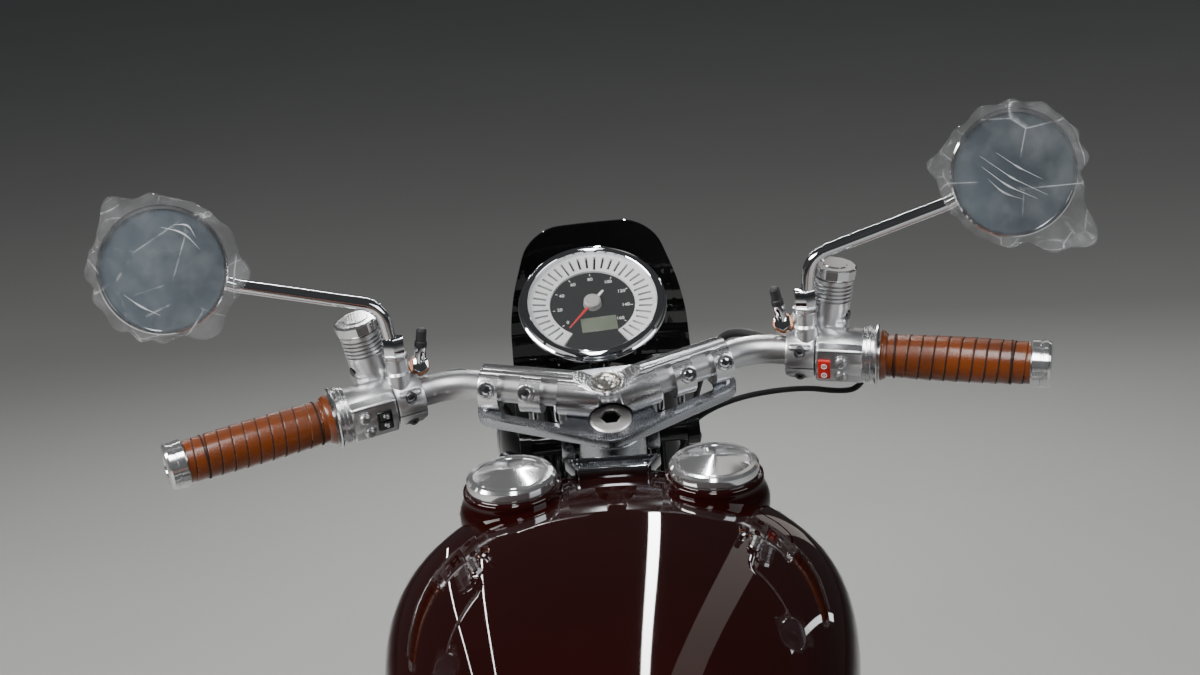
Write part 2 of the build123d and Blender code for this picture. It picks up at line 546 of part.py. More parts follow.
def fork_parts():
    ax, _, az = FRONT_AXLE_LOCAL
    blade = tube([(LINK_FRONT_E, BLADE_TOP_Y, LINK_TOP_A + 18), (LINK_FRONT_E, BLADE_TOP_Y, -300),
                  (LINK_FRONT_E - 14, BLADE_LOW_Y, -410), (ax, BLADE_LOW_Y, az)], BLADE_R, 50)
    lug = Pos(ax, BLADE_LOW_Y, az) * Cylinder(24, LUG_T, rotation=(90, 0, 0))
    brace = rod((LINK_FRONT_E, 0, -300), (LINK_FRONT_E, BLADE_TOP_Y, -300), 9)
    girder = both_sides(fuse(blade, lug, brace))
    for a in (LINK_TOP_A, LINK_LOW_A):
        girder -= Pos(LINK_FRONT_E, 0, a) * Cylinder(SPINDLE_R + FIT_GAP, 300, rotation=(90, 0, 0))
    girder -= Pos(ax, 0, az) * Cylinder(AXLE_R + FIT_GAP, 300, rotation=(90, 0, 0))
    links = []
    arm_y = BLADE_TOP_Y + BLADE_R + 1 + LINK_T / 2
    for a in (LINK_TOP_A, LINK_LOW_A):
        solids = [Pos(LINK_REAR_E, 0, a) * Cylinder(LINK_TUBE_R, 2 * arm_y, rotation=(90, 0, 0)),
                  Pos(LINK_FRONT_E, 0, a) * Cylinder(SPINDLE_R, 2 * arm_y, rotation=(90, 0, 0))]
        for side in (1, -1):
            for e in (LINK_REAR_E, LINK_FRONT_E):
                solids.append(Pos(e, side * arm_y, a) * Cylinder(15, LINK_T, rotation=(90, 0, 0)))
            solids.append(Pos((LINK_REAR_E + LINK_FRONT_E) / 2, side * arm_y, a)
                          * Box(LINK_FRONT_E - LINK_REAR_E, LINK_T, 20))
        links.append(fuse(*solids))
    top, bottom = Vector(SPRING_TOP_E, 0, SPRING_TOP_A), Vector(LINK_FRONT_E, 0, LINK_LOW_A)
    run = bottom - top
    outline = [(0, 14), (9, 14), (9, 34), (SPRING_R, 36)]
    turns = 7
    pitch = (run.length - 36 - 44) / turns
    for i in range(turns):
        low = 36 + i * pitch
        outline += [(SPRING_R, low + pitch * 0.6), (SPRING_R - 8, low + pitch * 0.7),
                    (SPRING_R - 8, low + pitch * 0.9), (SPRING_R, low + pitch)]
    outline += [(SPRING_R, run.length - 40), (16, run.length - 36), (16, run.length - 18), (0, run.length - 18)]
    spring = turned(outline, top, run)
    spring = fuse(spring, Pos(*top) * Cylinder(12, 18, rotation=(90, 0, 0)),
                  Plane(origin=top, z_dir=run) * Pos(0, 0, 8) * Box(18, 16, 16),
                  Pos(*bottom) * Cylinder(14, 30, rotation=(90, 0, 0)),
                  Plane(origin=bottom, z_dir=run) * Pos(0, 0, -12) * Box(20, 24, 18))
    spring -= Pos(*bottom) * Cylinder(SPINDLE_R + FIT_GAP, 100, rotation=(90, 0, 0))
    spring -= Pos(*top) * Cylinder(5 + FIT_GAP, 100, rotation=(90, 0, 0))
    axle_half = BLADE_LOW_Y + LUG_T / 2 + 6 + FIT_GAP
    axle = Pos(ax, 0, az) * Cylinder(AXLE_R, 2 * axle_half, rotation=(90, 0, 0))
    for side in (1, -1):
        axle += Pos(ax, side * (axle_half - 3), az) * Cylinder(17, 6, rotation=(90, 0, 0))
        low, high = FRONT_HUB_HALF + RUN_GAP, BLADE_LOW_Y - LUG_T / 2 - FIT_GAP
        axle += Pos(ax, side * (low + high) / 2, az) * Cylinder(AXLE_R + 4, high - low, rotation=(90, 0, 0))
    axle -= Pos(ax, 0, az) * Cylinder(AXLE_BORE_R, 300, rotation=(90, 0, 0))
    guard_r = FRONT_TYRE_R + 16
    section = [(guard_r - 16, -62), (guard_r - 16, -60), (guard_r, -44), (guard_r, 44), (guard_r - 16, 60),
               (guard_r - 16, 62), (guard_r + 2.5, 46), (guard_r + 2.5, -46)]
    ring = ring_y(section, (0, 0, 0))
    wedge = extrude(make_face(Polyline((0, 0), (480, 170), (480, 500), (-420, 500), (-420, 60), close=True)),
                    200, both=True)
    guard = ring & (Rot(90, 0, 0) * wedge)
    guard = Pos(ax, 0, az) * Rot(0, RAKE_DEG, 0) * guard
    bridge = rod((ax + 36, 50, az + guard_r - 10), (ax + 36, BLADE_LOW_Y, az + guard_r - 10), 6)
    stay_dir = math.radians(152)
    stay = rod((ax + (guard_r - 6) * math.cos(stay_dir), 58, az + (guard_r - 6) * math.sin(stay_dir)),
               (ax - 14, BLADE_LOW_Y - 10, az + 12), 4)
    guard = fuse(guard, both_sides(bridge), both_sides(stay)) - girder
    guard = guard.solids().sort_by(SortBy.VOLUME)[-1]
    calliper = Pos(ax, FRONT_DISC_Y, az) * caliper(FRONT_DISC_R, 122.0)
    calliper += rod((ax - 60, 58, az + 108), (ax + 14, BLADE_LOW_Y, az + 124), 7)
    calipers = pair((calliper - girder).solids().sort_by(SortBy.VOLUME)[-1])
    return {
        "girder_fork": steer(girder),
        "fork_links": steer(group(*links)),
        "fork_spring": steer(spring),
        "front_axle": steer(axle),
        "front_mudguard": steer(guard),
        "front_calipers": steer(calipers),
    }


def caliper(disc_r, angle):
    """Brake caliper straddling a disc centred on the origin, at an angle above straight ahead."""
    body = Pos(disc_r - 12, 0, 0) * Box(48, 36, 78)
    body -= Pos(disc_r - 37, 0, 0) * Box(80, DISC_T + 5, 200)
    return Rot(0, -angle, 0) * body


# Frame

def frame_parts():
    length = HEAD_TOP - HEAD_BOTTOM
    head = YOKE_PLANE.location * (Pos(0, 0, (HEAD_TOP + HEAD_BOTTOM) / 2) * Cylinder(HEAD_R, length))
    low = YOKE + HEAD_AXIS_DIR * (HEAD_BOTTOM + 45) - FORWARD_DIR * 18
    spine = rod(SPINE_FRONT, SPINE_REAR, SPINE_R)
    side = tube([(low.X, 10, low.Z), (350, 82, 560), (306, CRADLE_Y, 250), (STAND_PIVOT_X - 10, 84, 236),
                 (PIVOT_X, PLATE_Y, 320), (PIVOT_X, PLATE_Y, 590), (-160, 30, SPINE_REAR.Z)], FRAME_TUBE_R,
                [60, 60, 45, 40, 60])
    hoop_x = RAIL_REAR[0] - 50
    rail = [(-140, 20, SPINE_REAR.Z), RAIL_FRONT, RAIL_REAR, (hoop_x, RAIL_REAR[1], RAIL_REAR[2])]
    rear = tube(rail + [(x, -y, z) for x, y, z in reversed(rail)], REAR_TUBE_R, [80, 60, 34, 34, 60, 80])
    strut = rod((PIVOT_X + 4, PLATE_Y + 2, 480), (SHOCK_TOP.X, 97, 804), 11)
    pivot = Pos(PIVOT_X, 0, PIVOT_Z) * Cylinder(22, 2 * (ARM_Y - 17 - RUN_GAP), rotation=(90, 0, 0))
    pivot += Pos(PIVOT_X, 0, PIVOT_Z) * Cylinder(10, 2 * (ARM_Y + 21), rotation=(90, 0, 0))
    stand_tube = Pos(STAND_PIVOT_X, 0, STAND_PIVOT_Z) * Cylinder(11, 170, rotation=(90, 0, 0))
    cross = rod((300, -CRADLE_Y, 262), (300, CRADLE_Y, 262), 12)
    front_mount = Pos(238, 74, 318) * Box(164, 12, 34)
    rear_mount = Pos(-215, 71, 316) * Box(110, 6, 30)
    run = SPINE_FRONT - SPINE_REAR
    spine_plane = Plane(origin=SPINE_REAR, x_dir=run, z_dir=(-run.Z, 0, run.X))
    pads = [spine_plane * Pos(t, 0, SPINE_R + TUNNEL_GAP / 2 - 2) * Box(40, 30, TUNNEL_GAP + 4)
            for t in TANK_PADS]
    pin = rod((SHOCK_TOP.X, 96, SHOCK_TOP.Z), (SHOCK_TOP.X, SHOCK_TOP.Y + 16, SHOCK_TOP.Z), SHOCK_PIN_R)
    frame = fuse(head, spine, both_sides(pin), both_sides(side), rear, both_sides(strut),
                 both_sides(front_mount), both_sides(rear_mount), *pads, pivot, cross, stand_tube)
    bore = YOKE_PLANE.location * (Pos(0, 0, -120) * Cylinder(STEM_R + RUN_GAP, 400))
    frame -= bore
    arm = tube([(PIVOT_X, ARM_Y, PIVOT_Z), (REAR_AXLE_X + 30, ARM_Y, REAR_AXLE.Z + 2)], ARM_R)
    boss = Pos(BOBBIN.X, ARM_Y + ARM_R / 2 + 1, BOBBIN.Z) * Cylinder(BOBBIN_R + 3, ARM_R + 2,
                                                                    rotation=(90, 0, 0))
    boss += Pos(SHOCK_LOW.X, SHOCK_LOW.Y - 22, (SHOCK_LOW.Z + REAR_AXLE.Z) / 2 + 4) * Box(30, 20, 56)
    boss += rod((SHOCK_LOW.X, ARM_Y, SHOCK_LOW.Z), (SHOCK_LOW.X, SHOCK_LOW.Y + 14, SHOCK_LOW.Z), SHOCK_PIN_R)
    tip = Pos(REAR_AXLE_X + 6, ARM_Y, REAR_AXLE.Z) * Box(70, 20, 40)
    hub_eye = Pos(PIVOT_X, ARM_Y, PIVOT_Z) * Cylinder(26, 34, rotation=(90, 0, 0))
    along = BRIDGE_BACK / (PIVOT_X - REAR_AXLE_X - 30)
    bridge_z = PIVOT_Z + along * (REAR_AXLE.Z + 2 - PIVOT_Z)
    bridge = rod((PIVOT_X - BRIDGE_BACK, 0, bridge_z), (PIVOT_X - BRIDGE_BACK, ARM_Y - 3, bridge_z), ARM_R - 2)
    swingarm = both_sides(fuse(arm, tip, hub_eye, bridge, boss))
    swingarm -= Pos(PIVOT_X, 0, PIVOT_Z) * Cylinder(10 + FIT_GAP, 400, rotation=(90, 0, 0))
    swingarm -= Pos(*REAR_AXLE) * Cylinder(AXLE_R + FIT_GAP, 400, rotation=(90, 0, 0))
    swingarm -= frame
    swingarm = swingarm.solids().sort_by(SortBy.VOLUME)[-1]
    return {"frame": frame, "swingarm": swingarm}


def rear_parts():
    half = ARM_Y + 24
    axle = Pos(*REAR_AXLE) * Cylinder(AXLE_R, 2 * half, rotation=(90, 0, 0))
    for side in (1, -1):
        axle += Pos(REAR_AXLE_X, side * (half - 4), REAR_AXLE.Z) * Cylinder(18, 8, rotation=(90, 0, 0))
    left_in, right_in = CHAIN_Y + SPROCKET_T / 2 + RUN_GAP, REAR_HUB_HALF + RUN_GAP
    out = ARM_Y - 10 - FIT_GAP
    axle += Pos(REAR_AXLE_X, (left_in + out) / 2, REAR_AXLE.Z) * Cylinder(AXLE_R + 5, out - left_in,
                                                                         rotation=(90, 0, 0))
    axle += Pos(REAR_AXLE_X, -(right_in + out) / 2, REAR_AXLE.Z) * Cylinder(AXLE_R + 5, out - right_in,
                                                                           rotation=(90, 0, 0))
    top, bottom = SHOCK_TOP, SHOCK_LOW
    run = bottom - top
    outline = [(0, 0), (10, 0), (10, 22), (14, 24), (14, 60), (25, 64)]
    turns = 8
    pitch = (run.length - 64 - 120) / turns
    for i in range(turns):
        low = 64 + i * pitch
        outline += [(25, low + pitch * 0.6), (18, low + pitch * 0.7), (18, low + pitch * 0.9), (25, low + pitch)]
    outline += [(25, run.length - 112), (17, run.length - 106), (17, run.length - 24), (10, run.length - 22),
                (10, run.length), (0, run.length)]
    shock = fuse(turned(outline, top, run), Pos(*top) * Cylinder(16, 22, rotation=(90, 0, 0)),
                 Pos(*bottom) * Cylinder(16, 22, rotation=(90, 0, 0)))
    for eye in (top, bottom):
        shock -= Pos(*eye) * Cylinder(SHOCK_PIN_R + FIT_GAP, 60, rotation=(90, 0, 0))
    clasp = Pos(REAR_AXLE_X, REAR_DISC_Y, REAR_AXLE.Z) * caliper(REAR_DISC_R, 62.0)
    clasp += rod((REAR_AXLE_X + 52, REAR_DISC_Y - 12, REAR_AXLE.Z + 84),
                 (REAR_AXLE_X + 72, -ARM_Y, REAR_AXLE.Z + 14), 7)
    clasp -= frame_parts()["swingarm"]
    clasp = clasp.solids().sort_by(SortBy.VOLUME)[-1]
    bobbin = Pos(*BOBBIN) * (Cylinder(BOBBIN_R, BOBBIN_L, rotation=(90, 0, 0))
                             - Cylinder(BOBBIN_BORE_R, 2 * BOBBIN_L, rotation=(90, 0, 0)))
    return {"rear_axle": axle, "rear_shocks": pair(shock), "rear_caliper": clasp,
            "paddock_bobbins": pair(bobbin), "chain": chain()}


DRIVE_X, DRIVE_Z = -165.0, 398.0


def chain():
    """Drive chain as one loop round both sprockets: two rows of plates and the rollers between."""
    rear = (REAR_AXLE_X, REAR_AXLE.Z)
    front = (DRIVE_X, DRIVE_Z)

    def loop(grow):
        r1, r2 = SPROCKET_R + 4 + grow, DRIVE_SPROCKET_R + 4 + grow
        dx, dz = front[0] - rear[0], front[1] - rear[1]
        span = math.hypot(dx, dz)
        tilt = math.atan2(dz, dx)
        lean = math.acos((r1 - r2) / span)
        pts = []
        for sign in (1, -1):
            a = tilt + sign * lean
            pts.append(((rear[0] + r1 * math.cos(a), rear[1] + r1 * math.sin(a)),
                        (front[0] + r2 * math.cos(a), front[1] + r2 * math.sin(a))))
        (ru, fu), (rl, fl) = pts
        back = (rear[0] - r1 * math.cos(tilt), rear[1] - r1 * math.sin(tilt))
        nose = (front[0] + r2 * math.cos(tilt), front[1] + r2 * math.sin(tilt))
        with BuildSketch(Plane.XY) as sketch:
            with BuildLine():
                Line(ru, fu)
                ThreePointArc(fu, nose, fl)
                Line(fl, rl)
                ThreePointArc(rl, back, ru)
            make_face()
        return sketch.sketch

    def band(inner, outer, width):
        flat = loop(outer) - loop(inner)
        return Rot(90, 0, 0) * extrude(flat, width / 2, both=True)

    plates = band(-CHAIN_H / 2, CHAIN_H / 2, CHAIN_W) - band(-CHAIN_H, CHAIN_H, SPROCKET_T + 2)
    rollers = band(-3.2, 3.2, SPROCKET_T + 3)
    return Pos(0, CHAIN_Y, 0) * fuse(plates, rollers)


def stand_parts():
    foot_x = STAND_PIVOT_X + STAND_LEAN
    leg = tube([(STAND_PIVOT_X, STAND_EYE_Y, STAND_PIVOT_Z), (STAND_PIVOT_X + 8, 66, STAND_PIVOT_Z - 90),
                (foot_x, STAND_FOOT_Y, 12)], 12, 60)
    foot = Pos(foot_x, STAND_FOOT_Y, 5) * Box(62, 34, 10)
    eye = Pos(STAND_PIVOT_X, STAND_EYE_Y, STAND_PIVOT_Z) * Cylinder(20, 22, rotation=(90, 0, 0))
    cross = rod((STAND_PIVOT_X + 8, 0, STAND_PIVOT_Z - 90), (STAND_PIVOT_X + 8, 66, STAND_PIVOT_Z - 90), 10)
    stand = both_sides(fuse(leg, foot, eye, cross))
    stand -= Pos(STAND_PIVOT_X, 0, STAND_PIVOT_Z) * Cylinder(11.3, 300, rotation=(90, 0, 0))
    stand = stand & (Pos(0, 0, 500) * Box(3000, 800, 1000))
    return {"centre_stand": stand}


# Tank, seat and tail

def section_face(x, half, top, bottom, shoulder, low_half):
    """A tank section across the machine: crowned top, round shoulder, tucked flank, flat bottom."""
    crown = half * 0.42
    with BuildSketch(Plane(origin=(x, 0, 0), x_dir=(0, 1, 0), z_dir=(1, 0, 0))) as s:
        with BuildLine():
            Line((-low_half, bottom), (low_half, bottom))
            ThreePointArc((low_half, bottom), ((half + low_half) / 2 + half * 0.035, (bottom + shoulder) / 2),
                          (half, shoulder))
            ThreePointArc((half, shoulder), (half * 0.86, shoulder + (top - shoulder) * 0.66),
                          (crown, top - (top - shoulder) * 0.08))
            ThreePointArc((crown, top - (top - shoulder) * 0.08), (0, top),
                          (-crown, top - (top - shoulder) * 0.08))
            ThreePointArc((-crown, top - (top - shoulder) * 0.08), (-half * 0.86, shoulder + (top - shoulder) * 0.66),
                          (-half, shoulder))
            ThreePointArc((-half, shoulder), (-(half + low_half) / 2 - half * 0.035, (bottom + shoulder) / 2),
                          (-low_half, bottom))
        make_face()
    return s.sketch


# Tank stations: x and z from the yoke's centre, half width, top, bottom, shoulder height, bottom half width
TANK_STATIONS = (
    (-38.0, 92.0, -27.0, -205.0, -92.0, 70.0),
    (-85.0, 148.0, -28.0, -235.0, -100.0, 112.0),
    (-170.0, 168.0, -32.0, -248.0, -108.0, 138.0),
    (-300.0, 156.0, -48.0, -246.0, -128.0, 132.0),
    (-430.0, 128.0, -88.0, -228.0, -150.0, 112.0),
    (-560.0, 96.0, -145.0, -206.0, -178.0, 86.0),
)


def tank_parts():
    faces = [section_face(YOKE_X + x, half, YOKE_Z + top, YOKE_Z + bottom, YOKE_Z + shoulder, low)
             for x, half, top, bottom, shoulder, low in TANK_STATIONS]
    tank = loft(faces)
    run = SPINE_FRONT - SPINE_REAR
    spine_plane = Plane(origin=SPINE_REAR, x_dir=run, z_dir=(-run.Z, 0, run.X))
    room = SPINE_R + TUNNEL_GAP
    tank -= spine_plane * Pos(300, 0, room - 200) * Box(1000, 2 * room, 400)
    caps, necks, bases = [], [], []
    for side in (1, -1):
        base = Plane(origin=(YOKE_X - 76, side * 72.7, YOKE_Z - 28), x_dir=(1, 0, 0.14),
                     z_dir=(-0.14, side * 0.03, 1))
        bases.append(base)
        necks.append(base * Pos(0, 0, -6) * Cylinder(CAP_R + 3, 22))
        cap = base * Pos(0, 0, 5.6) * turned([(0, 0), (CAP_R, 0), (CAP_R, 6), (CAP_R - 4, CAP_H - 3),
                                            (0, CAP_H)], (0, 0, 0), (0, 0, 1))
        caps.append(cap)
    tank = fuse(tank, *necks)
    for base in bases:
        tank -= base * Pos(0, 0, 15.5) * Cylinder(CAP_R + 3, 20)
    plate_plane = Plane(origin=(YOKE_X - 40, 0, YOKE_Z - 28), x_dir=(1, 0, 0.02), z_dir=(-0.02, 0, 1))
    outline = [(0, -36), (0, 36), (-26, 27), (-26, -27)]
    strip = plate_plane * extrude(make_face(FilletPolyline(*outline, radius=3, close=True)), 7)
    strip -= tank
    strip = strip.solids().sort_by(SortBy.VOLUME)[-1]
    return {"fuel_tank": tank, "filler_caps": group(*caps),
            "tank_plate": strip}


def pan_z(x):
    """Height of the seat pan's underside over the rails."""
    slope = (RAIL_REAR[2] - RAIL_FRONT[2]) / (RAIL_FRONT[0] - RAIL_REAR[0])
    return RAIL_FRONT[2] + REAR_TUBE_R + 0.3 + (RAIL_FRONT[0] - x) * slope


def seat_parts():
    front, rear = YOKE_X - 564, REAR_AXLE_X + 60.0
    plan = make_face(Polyline((front, -82), (front - 170, -116), (rear, -104), (rear, 104), (front - 170, 116),
                              (front, 82), close=True))
    column = Pos(0, 0, 700) * extrude(plan, 300)
    base = [(front, pan_z(front)), (rear, pan_z(rear)), (rear, pan_z(rear) + PAN_T), (front, pan_z(front) + PAN_T)]
    pan = column & extrude(Plane.XZ * make_face(Polyline(*base, close=True)), 200, both=True)
    low = PAN_T + 0.3
    top = [(front, pan_z(front) + low), (rear, pan_z(rear) + low), (rear, pan_z(rear) + SEAT_T + 22),
           (rear + 90, pan_z(rear) + SEAT_T), (front - 160, pan_z(front) + SEAT_T), (front, pan_z(front) + SEAT_T - 6)]
    seat = column & extrude(Plane.XZ * make_face(Polyline(*top, close=True)), 200, both=True)
    cowl_low = pan_z(rear)
    sections = ((rear - 1.0, 108.0, 92.0), (rear - 80.0, 92.0, 74.0), (rear - 150.0, 58.0, 46.0))
    faces = []
    for x, half, height in sections:
        with BuildSketch(Plane(origin=(x, 0, 0), x_dir=(0, -1, 0), z_dir=(-1, 0, 0))) as s:
            with BuildLine():
                Line((-half, cowl_low), (half, cowl_low))
                ThreePointArc((half, cowl_low), (0, cowl_low + height), (-half, cowl_low))
            make_face()
        faces.append(s.sketch)
    cowl = loft(faces)
    lamp = Pos(rear - 158, 0, cowl_low + 22) * Rot(0, 90, 0) * Cylinder(16, 16)
    return {"seat": seat, "seat_pan": pan, "tail_cowl": cowl, "tail_lamp": lamp}


# Under the seat

def battery_parts():
    """Battery and electrics box held between the seat rails, with its lid under the pan."""
    front, rear = BATTERY_X
    low, high = BATTERY_Z
    body = Pos((front + rear) / 2, 0, (low + high) / 2) * Box(front - rear, 2 * BATTERY_HALF, high - low)
    body = fillet(body.edges().filter_by(Axis.Y), 14)
    lid = Pos((front + rear) / 2, 0, high - 4) * Box(front - rear + 8, 2 * BATTERY_HALF - 6, 8)
    return {"battery_box": fuse(body, lid) - frame_parts()["frame"]}


# Engine

def cylinder_plane(angle):
    """A plane at the crank, its Z along one cylinder."""
    lean = math.radians(angle)
    return Plane(origin=(CRANK_X, 0, CRANK_Z), x_dir=(math.cos(lean), 0, -math.sin(lean)),
                 z_dir=(math.sin(lean), 0, math.cos(lean)))


def engine_parts():
    pts = [(-205, -60), (-180, -110), (110, -118), (168, -70), (176, 30), (120, 118), (0, 128), (-120, 118),
           (-215, 60)]
    outline = FilletPolyline(*[(CRANK_X + x, CRANK_Z + z) for x, z in pts], radius=26, close=True)
    case = extrude(Plane.XZ * make_face(outline), 68, both=True)
    case += Pos(CRANK_X + 20, 0, CRANK_Z - 10) * Cylinder(112, CASE_W - 62, rotation=(90, 0, 0))
    for angle in (CYL_ANGLE_DEG, -CYL_ANGLE_DEG):
        case -= cylinder_plane(angle) * Pos(0, 0, CYL_START + 120) * Box(240, 300, 240)
    barrels, heads = [], []
    for angle in (CYL_ANGLE_DEG, -CYL_ANGLE_DEG):
        plane = cylinder_plane(angle)
        barrel = plane * Pos(0, 0, CYL_START + CYL_LENGTH / 2) * Cylinder(BARREL_R, CYL_LENGTH)
        pitch = (CYL_LENGTH - 14) / FIN_COUNT
        fins = [plane * Pos(0, 0, CYL_START + 14 + i * pitch) * Box(2 * FIN_R, 2 * FIN_R, FIN_T)
                for i in range(FIN_COUNT)]
        barrels.append(fuse(barrel, *fins))
        head = plane * Pos(0, 0, CYL_START + CYL_LENGTH + HEAD_LENGTH / 2) * Box(136, 150, HEAD_LENGTH)
        head = fillet(head.edges(), 12)
        heads.append(head)
        case += plane * Pos(0, 0, CYL_START / 2 + 20) * Cylinder(BARREL_R + 12, CYL_START - 40)
    intake = Pos(CRANK_X, 0, FILTER_Z) * Cylinder(FILTER_R, 2 * FILTER_HALF, rotation=(90, 0, 0))
    for side in (1, -1):
        intake += Pos(CRANK_X, side * (FILTER_HALF + 2), FILTER_Z) * Cylinder(FILTER_R - 6, 6, rotation=(90, 0, 0))
    for angle in (CYL_ANGLE_DEG, -CYL_ANGLE_DEG):
        port = cylinder_plane(angle) * Pos(-math.copysign(60, angle), 0, CYL_START + CYL_LENGTH + HEAD_LENGTH / 2)
        intake += rod(port.position, (CRANK_X, 0, FILTER_Z), RUNNER_R)
    intake -= group(*heads)
    intake = intake.solids().sort_by(SortBy.VOLUME)[-1]
    case += Pos(DRIVE_X, 79, DRIVE_Z) * Cylinder(14, 36, rotation=(90, 0, 0))
    case += Pos(DRIVE_X, CHAIN_Y, DRIVE_Z) * Cylinder(DRIVE_SPROCKET_R, SPROCKET_T, rotation=(90, 0, 0))
    clutch = Pos(CRANK_X - 70, -CASE_W / 2 + 12, CRANK_Z - 4) * Cylinder(88, 50, rotation=(90, 0, 0))
    clutch = fillet(clutch.edges().filter_by(GeomType.CIRCLE).sort_by(Axis.Y)[0], 16)
    clutch = clutch - case
    clutch -= cylinder_plane(-CYL_ANGLE_DEG) * Pos(0, 0, CYL_START + 110) * Box(2 * FIN_R + 4, 2 * FIN_R + 4, 220)
    clutch = clutch.solids().sort_by(SortBy.VOLUME)[-1]
    generator = Pos(CRANK_X + 20, CASE_W / 2 - 13, CRANK_Z - 8) * Cylinder(78, 36, rotation=(90, 0, 0))
    generator = fillet(generator.edges().filter_by(GeomType.CIRCLE).sort_by(Axis.Y)[-1], 14)
    generator -= case
    generator = generator.solids().sort_by(SortBy.VOLUME)[-1]
    return {
        "crankcase": case,
        "cylinders": group(*barrels),
        "cylinder_heads": group(*heads),
        "clutch_cover": clutch,
        "generator_cover": generator,
        "air_filter": intake,
    }


def exhaust_parts():
    front = tube([(225, -20, 554), (305, -28, 492), (372, -56, 420), (334, -124, 186), (150, -146, 178),
                  (-150, -150, 250)], EXHAUST_R, [40, 50, 60, 50])
    rear = tube([(-160, -50, 562), (-165, -122, 556), (-215, -150, 470), (-300, -184, 385)], EXHAUST_R, [30, 50])
    heads = engine_parts()["cylinder_heads"]
    front = (front - heads).solids().sort_by(SortBy.VOLUME)[-1]
    rear = (rear - heads).solids().sort_by(SortBy.VOLUME)[-1]
    silencers = []
    for start, end in (((-150.5, -150, 250), (-560, -184, 300)), ((-300.5, -184, 385), (-610, -218, 460))):
        start, end = Vector(*start), Vector(*end)
        run = end - start
        length = run.length
        silencers.append(turned([(0, 0), (22, 0), (42, 70), (42, length - 40), (30, length), (24, length),
                                 (24, length - 20), (0, length - 20)], start, run) - front - rear)
    return {"exhaust_pipes": group(front, rear), "silencers": group(*silencers),
            "rearsets": rearsets(group(*silencers, front, rear))}


def rearsets(pipes):
    """Footpeg plates on the swingarm spindle, the right one also carrying the silencers."""
    solids = []
    for side, outline in ((1, [(-250, 424), (-300, 424), (-350, 350), (-350, 316), (-316, 316), (-245, 384)]),
                          (-1, [(-250, 424), (-440, 424), (-440, 404), (-330, 392), (-350, 350), (-350, 316),
                                (-316, 316), (-245, 384)])):
        flat = Plane.XZ * make_face(FilletPolyline(*outline, radius=8, close=True))
        plate = Pos(0, side * (REARSET_Y + REARSET_T / 2), 0) * extrude(flat, REARSET_T / 2, both=True)
        peg = Pos(-332, side * (REARSET_Y + REARSET_T + 38), 334) * Cylinder(PEG_R, 80, rotation=(90, 0, 0))
        solid = fuse(plate, peg)
        if side < 0:
            for x, z, out in ((-430, 414, 36), (-341, 324, 30)):
                solid += rod((x, side * REARSET_Y, z), (x - 6, side * (REARSET_Y + out), z - 6), 8)
            solid -= pipes
        else:
            solid += rod((-296, side * (REARSET_Y + 9), 410), (-180, side * (REARSET_Y + 14), 352), 6)
            solid += rod((-180, side * (REARSET_Y + 8), 352), (-180, side * (REARSET_Y + 46), 352), 8)
        solids.append(solid.solids().sort_by(SortBy.VOLUME)[-1])
    return group(*solids)


def build():
    nodes = {}
    for maker in (yoke_parts, bar_parts, control_parts, cockpit_parts, fork_parts, front_wheel_parts,
                  frame_parts, rear_parts, rear_wheel_parts, stand_parts, tank_parts, seat_parts, battery_parts,
                  engine_parts, exhaust_parts):
        nodes.update(maker())
    return nodes


def main():
    os.makedirs("parts", exist_ok=True)
    nodes = build()
    boxes = [shape.bounding_box() for shape in nodes.values()]
    low_x, high_x = min(b.min.X for b in boxes), max(b.max.X for b in boxes)
    low_y, high_y = min(b.min.Y for b in boxes), max(b.max.Y for b in boxes)
    low_z = min(b.min.Z for b in boxes)
    shift = Vector(-(low_x + high_x) / 2, -(low_y + high_y) / 2, -low_z)
    for name, shape in nodes.items():
        export_step(Pos(*shift) * shape, f"parts/{name}.step")
    places = {
        "steering": (YOKE, HEAD_AXIS_DIR),
        "front_axle": (YOKE + (FRONT_AXLE - YOKE).rotate(Axis((0, 0, 0), HEAD_AXIS_DIR), STEER_TURN_DEG),
                       Vector(0, 1, 0).rotate(Axis((0, 0, 0), HEAD_AXIS_DIR), STEER_TURN_DEG)),
        "rear_axle": (REAR_AXLE, Vector(0, 1, 0)),
        "stand": (Vector(STAND_PIVOT_X, 0, STAND_PIVOT_Z), Vector(0, 1, 0)),
        "bobbin": (BOBBIN, Vector(0, 1, 0)),
    }
    print(json.dumps({"shift": list(shift), "axle_mm": 2 * (BLADE_LOW_Y + LUG_T / 2 + 6 + FIT_GAP), "places": {
        name: [list(point + shift), list(direction)] for name, (point, direction) in places.items()}}))


main()
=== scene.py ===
import json
import logging
from dataclasses import dataclass, field
from enum import Enum
from math import acos, atan2, copysign, cos, degrees, exp, hypot, pi, radians, sin, sqrt, tan, tau
from typing import Callable, Iterable, Sequence

import bmesh
import bpy
from mathutils import Matrix, Vector, noise


